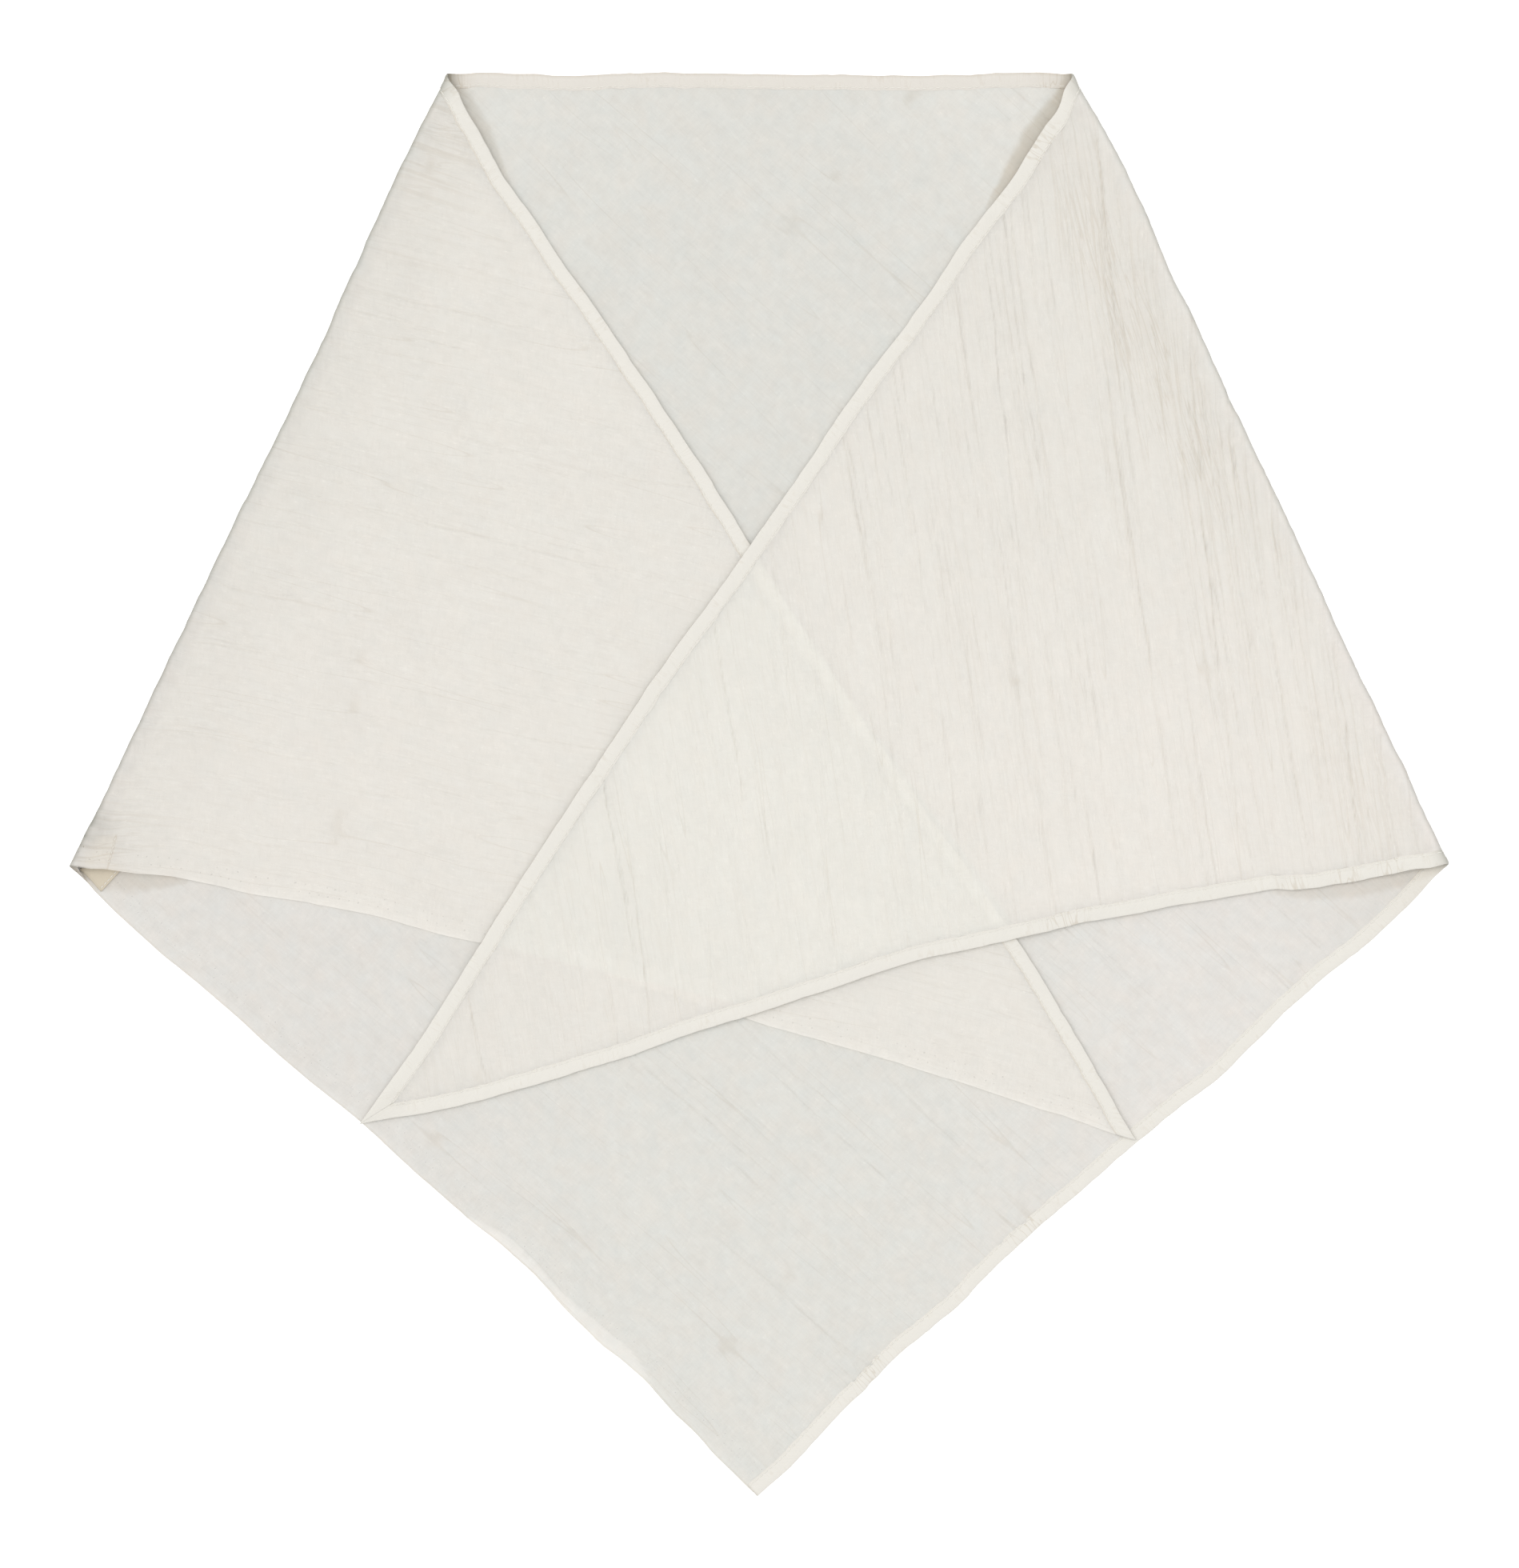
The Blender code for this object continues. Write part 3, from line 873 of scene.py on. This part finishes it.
class Nodes:
    """Short forms for building a material's node tree."""

    def __init__(self, name, roughness):
        self.material = bpy.data.materials.new(name)
        self.material.use_nodes = True
        self.tree = self.material.node_tree
        self.shader = self.tree.nodes["Principled BSDF"]
        self.set("Roughness", roughness)

    def feed(self, socket, value):
        if isinstance(value, Value):
            value = value.socket
        if isinstance(value, bpy.types.NodeSocket):
            self.tree.links.new(value, socket)
        else:
            socket.default_value = value

    def set(self, name, value):
        self.feed(self.shader.inputs[name], value)

    def add(self, kind, inputs=(), output=0, **settings):
        """Adds a node and gives one of its outputs."""
        node = self.tree.nodes.new(kind)
        for key, value in settings.items():
            setattr(node, key, value)
        for socket, value in dict(inputs).items():
            self.feed(node.inputs[socket], value)
        return node.outputs[output]

    def math(self, operation, a, b=0.0):
        return Value(self, self.add("ShaderNodeMath", {0: a, 1: b}, operation=operation))

    def uv(self, layer):
        return self.add("ShaderNodeUVMap", uv_map=layer)

    def object_place(self):
        return self.add("ShaderNodeTexCoord", output="Object")

    def split(self, vector):
        separate = self.add("ShaderNodeSeparateXYZ", {0: vector}).node
        return Value(self, separate.outputs[0]), Value(self, separate.outputs[1])

    def turned(self, vector, degrees):
        inputs = {"Vector": vector, "Rotation": (0, 0, math.radians(degrees))}
        return self.add("ShaderNodeMapping", inputs)

    def noise(self, vector, scale, detail=2.0):
        """Noise from 0 to 1 with scale features to the metre, along x and along y."""
        scaled = self.add("ShaderNodeMapping", {"Vector": vector, "Scale": (*scale, 1.0)})
        inputs = {"Vector": scaled, "Scale": 1.0, "Detail": detail, "Roughness": 0.6}
        return Value(self, self.add("ShaderNodeTexNoise", inputs))

    def wave(self, value, period):
        """A sine of a length in metres, from -1 to 1."""
        return self.math("SINE", value * (math.tau / period))

    def between(self, value, low, high, result_low=0.0, result_high=1.0):
        inputs = {0: value, 1: low, 2: high, 3: result_low, 4: result_high}
        return Value(self, self.add("ShaderNodeMapRange", inputs, interpolation_type="SMOOTHSTEP"))

    def ridge(self, value, width):
        """1 along the middle contours of a noise, fading to 0 at a width to each side."""
        return self.between(abs(value - 0.5), 0.0, width, 1.0, 0.0)

    def mix(self, share, a, b):
        a, b = ((*x, 1.0) if isinstance(x, tuple) else x for x in (a, b))
        return self.add("ShaderNodeMix", {0: share, 6: a, 7: b}, 2, data_type="RGBA")

    def multiply(self, colour, tint):
        return self.add("ShaderNodeVectorMath", {0: colour, 1: tint}, operation="MULTIPLY")

    def scale(self, colour, factor):
        return self.add("ShaderNodeVectorMath", {0: colour, 3: factor}, operation="SCALE")

    def darkened(self, tint, share):
        """White at a share of 0, a tint at 1, and past the tint above 1."""
        scaled = self.scale(tuple(x - 1.0 for x in tint), share)
        return self.add("ShaderNodeVectorMath", {0: scaled, 1: (1.0, 1.0, 1.0)})

    def let_light_through(self, colour, share):
        """Mixes in light that the cloth scatters through to its other side."""
        through = self.add("ShaderNodeBsdfTranslucent", {"Color": colour})
        inputs = {0: share, 1: self.shader.outputs[0], 2: through}
        mixed = self.add("ShaderNodeMixShader", inputs)
        self.feed(self.tree.nodes["Material Output"].inputs["Surface"], mixed)

    def bump(self, height, distance, strength=0.5):
        inputs = {"Height": height, "Distance": distance, "Strength": strength}
        self.set("Normal", self.add("ShaderNodeBump", inputs))


def opening_shade(n):
    """The shade on the back panel under a flap's edge that stands clear of it."""
    across, depth = n.split(n.uv("opening"))
    across = across + n.noise(n.uv("cloth"), (150, 150), 1.0) * 0.3
    return n.between(across, 0.65, 1.15, 1.0, 0.0) * depth


def left_flap_below(n):
    """Where the right flap lies on the left one, and where it lies on the left one's tape."""
    outside, inside_fold = n.split(n.uv("below"))
    on_right_flap = n.between(inside_fold, -8 * MM, -2 * MM, 1.0, 0.0)
    from_tape = abs(outside + TAPE_WIDTH / 2)
    layered = n.between(outside, -1 * MM, 1.5 * MM, 1.0, 0.0) * on_right_flap
    return layered, n.between(from_tape, 2.5 * MM, 5 * MM, 1.0, 0.0) * on_right_flap


def cloth_creases(n, place):
    """Crisp little creases along the warp, sparser long ones, and slanting pleats by the folds:
    painted shade in their valleys, which the bump also follows.
    """
    weight = n.split(n.uv("creases"))[0]
    short = n.between(n.noise(place, (10, 400), 1.0), 0.33, 0.44, 1.0, 0.0) * weight * 0.6
    gaps = n.between(n.noise(place, (10, 60), 1.0), 0.42, 0.62)
    long = n.ridge(n.noise(place, (6, 120), 0.0), 0.013) * gaps * 0.34
    pleat = n.ridge(n.noise(n.turned(place, 12), (16, 300), 1.0), 0.035)
    pleat = pleat * n.between(weight, 0.25, 0.75) * 0.45
    return n.math("MAXIMUM", n.math("MAXIMUM", short, long), pleat)


def pin_holes(n, along, inside, flap):
    """Two staggered, irregular rows of little holes beside the selvedge."""
    place = n.uv("selvedge")
    wander = n.noise(place, (160, 160), 1.0) * (3.2 * MM)
    wanted = n.between(n.noise(place, (120, 90), 1.0), 0.38, 0.55)
    holes = []
    for offset, on_back, on_flap in zip((0.0, 0.5), BACK_PIN_ROWS, FLAP_PIN_ROWS):
        turn = (along + wander) / PIN_PITCH + offset
        beside = abs(n.math("FRACT", turn) - 0.5) * PIN_PITCH
        away = inside - (n.between(flap, 0.0, 1.0, on_back, on_flap) + wander * 0.3)
        distance = n.math("SQRT", beside**2.0 + away**2.0)
        holes.append(n.between(distance, 0.2 * MM, 0.5 * MM, 0.45, 0.0))
    return n.math("MAXIMUM", *holes) * (wanted * n.between(flap, 0.0, 1.0, 1.0, 0.45))


def label_seam_mark(n, along, inside, flap):
    """The label's seam shows through the left flap as a faint bent line."""
    end = n.between(abs(along + LABEL_SEAM), 0.2 * MM, 0.7 * MM, 1.0, 0.0)
    end = end * n.between(inside, 17 * MM, 17.6 * MM, 1.0, 0.0)
    return end * n.between(flap, 0.6, 0.9) * 0.5


def muslin():
    """Sheer plain weave with slubs. The back panel lies greyer, the turned-in flaps creamier."""
    n = Nodes("sling_muslin", 0.95)
    place = n.uv("cloth")
    s, t = n.split(place)
    along, inside = n.split(n.uv("selvedge"))
    flap, shade = n.split(n.uv("flap"))
    cream = n.split(n.uv("creases"))[1]
    roll, warm = n.split(n.uv("roll"))

    # How light it is
    slubs = n.noise(place, (120, 900)) + n.noise(place, (900, 160))
    blotches = (n.noise(place, (150, 170), 3.0) - 0.5) * n.between(flap, 0.0, 1.0, 0.12, 0.06)
    patches = n.noise(place, (35, 35), 3.0)
    nubs = n.between(n.noise(place, (330, 900), 1.0), 0.66, 0.78, 0.0, 0.06)
    tone = slubs * 0.05 + blotches + patches * 0.06 + nubs
    beyond_band = inside - n.between(along, -0.12, 0.0, 8 * MM, 3 * MM)
    band = n.between(beyond_band, -2 * MM, 2 * MM, 0.014, 0.0)
    level = tone + 0.902 + band * n.between(flap, 0.5, 1.0, 1.0, 0.3)

    # Its colour, the tints where it is stained and layered, and painted shade on the folds' rounded
    # sides, in creases, at corners and in the openings under the flaps' edges
    layered, taped = left_flap_below(n)
    base = n.mix(cream + taped * 0.04, BACK_COLOUR, FLAP_COLOUR)
    base = n.multiply(base, n.darkened(LAYERED_TINT, layered))
    stain = (n.noise(place, (90, 90)) - 0.5) * n.between(flap, 0.0, 1.0, 1.2, 0.4)
    base = n.multiply(base, n.mix(stain + 0.5, *STAIN_TINTS))
    base = n.multiply(base, n.darkened(WARM_TINT, warm))
    base = n.multiply(base, n.darkened(ROLL_SHADE_TINT, roll))
    creases = cloth_creases(n, place)
    dark = shade + creases + label_seam_mark(n, along, inside, flap) + opening_shade(n)
    dark = n.math("MINIMUM", dark, 2.4)
    colour = n.scale(n.multiply(base, n.darkened(PAINTED_SHADE_TINT, dark)), level)
    n.set("Base Color", colour)
    n.set("Sheen Weight", 0.1)
    n.set("Sheen Roughness", 0.6)

    # How much light it lets through
    cover = n.between(flap, 0.0, 1.0, BACK_COVER, FLAP_COVER)
    n.set("Alpha", cover - pin_holes(n, along, inside, flap))
    sheer = n.between(flap, 0.0, 1.0, BACK_SHEER, FLAP_SHEER)
    n.let_light_through(colour, sheer + n.between(slubs, 0.7, 1.3, 0.03, -0.03))

    weave = n.wave(s, YARN_PITCH) * n.wave(t, YARN_PITCH)
    n.bump(slubs + weave * 0.12 - creases, 0.2 * MM)
    return n.material


def binding_tape():
    """Bias tape: a finer, closer weave that lies slantwise to the tape."""
    n = Nodes("sling_tape", 0.9)
    place = n.uv("cloth")
    inside = n.split(place)[1]
    flap, shade = n.split(n.uv("flap"))
    seam, puckers = n.split(n.uv("creases"))
    slant = n.turned(place, 45)
    grain = n.noise(slant, (150, 1500))
    patches = n.noise(place, (90, 200), 3.0)
    # Painted shade in the tape's wrinkles and puckers, at the back panel's corners, in the openings
    # and on the folds' rounded sides; its sewn lip is darker too
    wrinkles = n.ridge(n.noise(place, (330, 60), 1.0), 0.05)
    strength = n.between(patches, 0.45, 0.65, 0.0, 0.3) + n.between(puckers, 0.4, 1.3, 0.0, 0.6)
    ragged = inside + n.noise(place, (500, 100), 1.0) * (0.8 * MM)
    lip = n.between(ragged, 6.4 * MM, 7.1 * MM) * seam
    dark = shade + wrinkles * strength + (lip + opening_shade(n) * 0.65)
    base = n.mix(flap, BACK_TAPE_COLOUR, FLAP_TAPE_COLOUR)
    base = n.multiply(base, n.darkened(PAINTED_SHADE_TINT, dark))
    base = n.multiply(base, n.darkened(ROLL_SHADE_TINT, n.split(n.uv("roll"))[0]))
    n.set("Base Color", n.scale(base, grain * 0.05 + patches * 0.07 + 0.94))
    n.set("Sheen Weight", 0.15)
    x, y = n.split(slant)
    weave = n.wave(x, YARN_PITCH * 0.7) * n.wave(y, YARN_PITCH * 0.7)
    n.bump(grain + weave * 0.15, 0.2 * MM)
    return n.material


def sewing_thread():
    """Matt spun thread with a slight twist."""
    n = Nodes("sling_thread", 0.75)
    fibres = n.noise(n.object_place(), (2500, 2500))
    n.set("Base Color", n.scale(THREAD_COLOUR, fibres * 0.12 + 0.9))
    n.bump(fibres, 0.08 * MM, 0.6)
    return n.material


def label_satin():
    """Smooth woven ribbon with fine ribs across it, and no lettering. Its tan is darkened with
    painted shade.
    """
    n = Nodes("sling_label", 0.42)
    place = n.uv("cloth")
    along, inside = n.split(place)
    patches = n.noise(place, (200, 200), 3.0)
    from_middle = abs(inside - (LABEL_INSET + LABEL_WIDTH / 2))
    edge = LABEL_WIDTH / 2
    border = n.between(from_middle, edge - 1.4 * MM, edge - 1.0 * MM, 0.0, -0.06)
    n.set("Base Color", n.scale(SHADED_LABEL_COLOUR, patches * 0.08 + 0.92 + border))
    n.bump(n.wave(along, 0.35 * MM), 0.05 * MM)
    return n.material


def plain_floor():
    n = Nodes("plain_floor", 0.9)
    level = n.noise(n.object_place(), (1.5, 1.5)) * 0.01 + 0.99
    n.set("Base Color", n.scale(FLOOR_COLOUR, level))
    n.set("Emission Color", (1.0, 1.0, 1.0, 1.0))
    n.set("Emission Strength", FLOOR_GLOW)
    return n.material


MUSLIN = muslin()
TAPE = binding_tape()
THREAD = sewing_thread()
SATIN = label_satin()


# The cloth ----

IN_TOP = moved_in(TOP, CLOTH_IN_TAPE)
IN_LOWER_RIGHT = moved_in(LOWER_RIGHT, CLOTH_IN_TAPE)
IN_LONG_LEFT = moved_in(OPEN_LONG_LEFT, CLOTH_IN_TAPE)
IN_LONG_RIGHT = moved_in(OPEN_LONG_RIGHT, CLOTH_IN_TAPE)
IN_RIGHT_LEG = moved_in(OPEN_RIGHT_LEG, CLOTH_IN_TAPE)
LEFT_NEAR = moved_in(LEFT_FOLD, FOLD_REACH)
LEFT_FAR = moved_in(LEFT_FOLD, -FOLD_REACH)
RIGHT_NEAR = moved_in(RIGHT_FOLD, FOLD_REACH)
RIGHT_FAR = moved_in(RIGHT_FOLD, -FOLD_REACH)


def roll_shade(p):
    """Painted shade on the rounded side of each fold, darkest at its rim, with streaked painted
    shade near the left fold's lower end.
    """
    left, right = np.abs(LEFT_FOLD.inside_of(p)), np.abs(RIGHT_FOLD.inside_of(p))
    rim = fall(np.minimum(left, right) / (4.5 * MM))
    shade = 1.8 * fall(left / (9.5 * MM)) + 1.1 * fall(right / (9 * MM)) + rim
    near_end = (LEFT_FOLD.along_of(p) - LEFT_FOLD.length + 0.021) / 0.017
    streaks = 0.7 + 0.5 * noise(LEFT_FOLD.along_of(p) / 0.0022, left / 0.02, 81)
    return shade + 0.9 * streaks * fall(np.hypot(near_end, left / 0.017))


def warmth(p):
    """The back panel is a little pinker toward its left and right corners."""
    return 0.3 + 0.7 * ease((np.abs(p[:, 0]) - 0.04) / 0.18) * ease((0.18 - p[:, 1]) / 0.16)


def openings(p):
    """How far across the nearest shaded opening points lie, and how dark that opening is.

    The first is 0 at the flap's edge and 1 at the shade's end, and is 3 at most.
    """
    on_back = inside_folds(p) > 0
    across, dark = np.full(len(p), 3.0), np.zeros(len(p))
    for edge, start, end, width, depth in SHADED_OPENINGS:
        along = edge.along_of(p)
        outside = edge.shift(along) - edge.inside_of(p)
        lens = np.sin(math.pi * np.clip((along - start) / (end - start), 0, 1)) ** 0.7
        here = np.abs(outside) / (width * MM * lens + 0.3 * MM)
        nearer = here < across
        across = np.where(nearer, here, across)
        dark = np.where(nearer, depth * np.minimum(1.5 * lens, 1) * on_back, dark)
    return across, dark


def plan_shade(p):
    """Painted shade at the back panel's corners, and a darker rim along its selvedge."""
    shade = 0.5 * fall(LOWER_LEFT.inside_of(p) / (1.3 * MM))
    for corner, size, depth in SHADED_CORNERS:
        shade = shade + depth * fall(distance_from(corner, p) / size)
    return shade * (inside_folds(p) > 0)


def top_rim(p):
    """The top tape's outer edge is a little darker."""
    return 0.6 * fall(TOP.inside_of(p) / (1.6 * MM)) * (inside_folds(p) > 0)


def no_flap(p):
    return np.zeros(len(p))


def all_flap(p):
    return np.ones(len(p))


def back_cream(p):
    """The back panel is creamier low down, to the right, at its top and where turned over."""
    low = 0.05 * ease((0.16 - p[:, 1]) / 0.16)
    right = 0.10 * ease((p[:, 0] - 0.03) / 0.20) * ease((0.16 - p[:, 1]) / 0.16)
    right = right * ease(distance_from(RIGHT, p) / 0.14)
    top_right = 0.12 * fall(distance_from(TOP_RIGHT, p) / 0.13)
    top = top_right + 0.07 * fall(distance_from(TOP_LEFT, p) / 0.1)
    return np.maximum(low + right + top, 0.25 * turned_over(p))


def left_cream(p):
    """The left flap is a little less creamy beside its fold."""
    return 0.888 - 0.06 * fall(-LEFT_FOLD.inside_of(p) / 0.12)


def right_cream(p):
    """The right flap is lightest in its middle."""
    top = ease((RIGHT_FOLD.mirror(p)[:, 1] + 0.05) / 0.40)
    tip = fall(distance_from(OPEN_RIGHT_TIP, p) / 0.25)
    corner = fall(distance_from(RIGHT, p) / 0.35)
    return 0.982 - 0.15 * top - 0.16 * tip - 0.04 * corner


def turned_share(fold):
    """0 on the back panel and round the fold, 1 where the flap lies flat and is seen through."""
    return lambda p: ease((-fold.inside_of(p) - 1 * MM) / (FOLD_REACH - 2 * MM))


def fold_cream(fold, on_flap):
    """Back panel to flap, all of it on the fold's hidden lower side."""

    def cream(p):
        turned = ease(1 - fold.inside_of(p) / FOLD_REACH)
        return back_cream(p) * (1 - turned) + on_flap(p) * turned

    return cream


def bent(piece, fold):
    """Bakes the placing of a piece that crosses a fold into its mesh."""
    x, y = (fold.start + fold.end) / 2
    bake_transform(piece)


def declare(corners, axis, rests_on, with_pieces):
    """Measures an outline's extent along and across an axis, and keeps nothing of it."""
    across = np.array([-axis[1], axis[0]])
    size = [float(np.ptp(corners @ direction)) for direction in (axis, across)]
    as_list(rests_on)
    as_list(with_pieces)


back_corners = outline(IN_LOWER_RIGHT, RIGHT_NEAR, IN_TOP, LEFT_NEAR, LOWER_LEFT)
left_corners = outline(IN_LONG_LEFT, OPEN_SELVEDGE, LEFT_FAR)
right_corners = outline(IN_LONG_RIGHT, RIGHT_FAR, IN_RIGHT_LEG)
left_fold_corners = outline(IN_TOP, IN_LONG_LEFT, LEFT_FAR, OPEN_SELVEDGE, LOWER_LEFT, LEFT_NEAR)
right_fold_corners = outline(
    IN_LOWER_RIGHT, IN_RIGHT_LEG, RIGHT_FAR, IN_LONG_RIGHT, IN_TOP, RIGHT_NEAR
)

back_cloth = cloth_piece("back_cloth", back_corners, 92, no_flap, back_cream)
left_cloth = cloth_piece("left_flap_cloth", left_corners, 98, all_flap, left_cream)
right_cloth = cloth_piece("right_flap_cloth", right_corners, 98, all_flap, right_cream, 1.5)
left_roll, right_roll = (
    cloth_piece(name, corners, columns, turned_share(fold), fold_cream(fold, on_flap))
    for name, corners, columns, fold, on_flap in (
        ("left_fold_cloth", left_fold_corners, 56, LEFT_FOLD, left_cream),
        ("right_fold_cloth", right_fold_corners, 90, RIGHT_FOLD, right_cream),
    )
)

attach(back_cloth, "back")
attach(left_cloth, "left_flap")
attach(right_cloth, "right_flap")
bent(left_roll, LEFT_FOLD)
bent(right_roll, RIGHT_FOLD)
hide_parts("back_panel")
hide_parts("left_flap_panel")
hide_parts("right_flap_panel")
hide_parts("left_fold")
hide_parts("right_fold")


# The taped edges ----

LONG_HEM = Hem(
    [OPEN_RIGHT_TIP, TOP_RIGHT, TOP_LEFT, OPEN_LEFT_TIP],
    21.2,
    42.7,
    [(0.56, 0.02), (0.60, 0.02), (0.89, 0.02)],
    51,
)
LEG_HEM = Hem(
    [BOTTOM, RIGHT, OPEN_RIGHT_TIP],
    90,
    21.2,
    [(0.078, 0.022), (0.178, 0.02), (0.467, 0.012), (0.488, 0.012), (0.514, 0.012), (0.62, 0.02)],
    61,
)


def hem_part(name, hem, span, body, fold=None, capped=(False, False), seam=0.12):
    """One stretch of a taped edge and its stitches.

    fold is set where it goes round one. The others stand for the CAD nodes of the same name.
    """
    strip = tape(f"{name}_tape", hem, *span, capped, seam)
    stitches = hem_stitches(f"{name}_stitches", hem, *span)
    for piece, slot, node in ((strip, "binding_tape", "binding"), (stitches, "thread", "thread")):
        if fold:
            bent(piece, fold)
        else:
            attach(piece, body)
            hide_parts(f"{name}_{node}")
    return [strip, stitches]


def fold_span(hem, fold):
    """Where a hem enters and leaves a fold, a little beyond the cloth's fold piece."""
    middle, reach = hem.distance_to(fold), 13 * MM
    return middle - reach, middle + reach


at_right = fold_span(LONG_HEM, RIGHT_FOLD)
at_left = fold_span(LONG_HEM, LEFT_FOLD)
at_point = fold_span(LEG_HEM, RIGHT_FOLD)
START, FINISH = (True, False), (False, True)

before = (0, at_right[0])
right_upper = hem_part("right_flap_upper", LONG_HEM, before, "right_flap", capped=START)
right_corner = hem_part("right_corner", LONG_HEM, at_right, "right_flap", RIGHT_FOLD)
top = hem_part("top", LONG_HEM, (at_right[1], at_left[0]), "back", seam=0.0)
left_corner = hem_part("left_corner", LONG_HEM, at_left, "left_flap", LEFT_FOLD)
after = (at_left[1], LONG_HEM.length)
left_long = hem_part("left_flap", LONG_HEM, after, "left_flap", capped=FINISH, seam=0.6)

before = (0, at_point[0])
lower_right = hem_part("lower_right", LEG_HEM, before, "back", capped=START, seam=0.08)
right_point = hem_part("right_point", LEG_HEM, at_point, "right_flap", RIGHT_FOLD)
after = (at_point[1], LEG_HEM.length)
right_lower = hem_part("right_flap_lower", LEG_HEM, after, "right_flap", capped=FINISH)

right_axis, over_both = OPEN_LONG_RIGHT.along, [left_cloth, back_cloth]
left_axis, round_right = LEFT_FOLD.along, right_corner + right_point
declare(back_corners, WARP, [], top + lower_right)
declare(left_corners, WARP, [back_cloth], left_long)
declare(right_corners, right_axis, over_both, right_upper + right_lower)
declare(left_fold_corners, left_axis, [back_cloth], left_corner)
declare(right_fold_corners, RIGHT_FOLD.along, [back_cloth], round_right)


# The label ----

SELVEDGE = Hem([OPEN_LEFT_TIP, LEFT, BOTTOM], 90, 90, [], 71)


def selvedge_surface(along, inside, lift):
    """Points over the selvedge, by the distance from the left corner, without a hem's wrinkles."""
    along, inside, lift = (x.ravel() for x in np.broadcast_arrays(along, inside, lift))
    flat = SELVEDGE.flat(along + OPEN_SELVEDGE.length, inside)
    return cloth_surface(flat, lift)


label_along = np.linspace(-LABEL_REACH, LABEL_REACH, 90)[:, None]
label_inside = np.linspace(LABEL_INSET, LABEL_INSET + LABEL_WIDTH, 24)[None, :]
label = slab("label", label_along, label_inside, selvedge_surface, SATIN, LABEL_LOW, LABEL_HIGH)
bent(label, LEFT_FOLD)
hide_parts("label_back_half", "label_flap_half")


def label_seam(name, along, body, node):
    """A row of stitches across one end of the label, through the cloth."""
    count = 6
    edge = LABEL_INSET + LABEL_WIDTH * np.linspace(0.06, 0.94, count + 1)
    across = np.full(count, along)
    ends = stitch_ends((across, across), (edge[:-1] + 0.3 * MM, edge[1:] - 0.3 * MM))
    lifts = (LABEL_HIGH + STITCH_RADIUS, -STITCH_RADIUS)
    seam = tube_stitches(name, ends, lifts, selvedge_surface)
    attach(seam, body)
    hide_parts(node)
    return seam


back_seam = label_seam("label_back_stitches", LABEL_SEAM, "back", "label_back_thread")
flap_seam = label_seam("label_flap_stitches", -LABEL_SEAM, "left_flap", "label_flap_thread")


# Scene ----


def add_floor():
    size = 3.0
    places = np.array([(-size, -size, 0), (size, -size, 0), (size, size, 0), (-size, size, 0)])
    floor = add_mesh("floor", places - [0, 0, 0.1 * MM], [(0, 1, 2, 3)], plain_floor())


def add_light(name, place, spread, strength):
    """Even light from a wide softbox, in the direction of place."""
    data = bpy.data.lights.new(name, "SUN")
    data.angle = math.radians(spread)
    data.energy = strength
    light = bpy.data.objects.new(name, data)
    light.location = place
    light.rotation_euler = (-Vector(place)).to_track_quat("-Z", "Y").to_euler()
    bpy.context.collection.objects.link(light)


def add_camera():
    """Straight above the sling. The picture's longer side spans the framed length of floor."""
    height, framed = 3.0, 0.7364
    data = bpy.data.cameras.new("camera")
    data.sensor_width = 36
    data.lens = data.sensor_width * height / framed
    data.clip_end = 20
    camera = bpy.data.objects.new("camera", data)
    camera.location = (0.0002, 0.0006, height)
    bpy.context.collection.objects.link(camera)
    bpy.context.scene.camera = camera


def add_world(strength):
    world = bpy.data.worlds.new("soft_studio")
    world.use_nodes = True
    world.node_tree.nodes["Background"].inputs["Strength"].default_value = strength
    world.node_tree.nodes["Background"].inputs["Color"].default_value = (1, 1, 1, 1)
    bpy.context.scene.world = world


add_floor()
add_camera()
add_world(0.76)
add_light("soft_above", (-0.25, 0.15, 1.7), 55, 1.0)
add_light("soft_left", (-2.0, 0.5, 1.4), 20, 0.38)
add_light("soft_right", (2.0, 0.2, 1.5), 25, 0.19)
bpy.context.scene.view_settings.view_transform = "Standard"
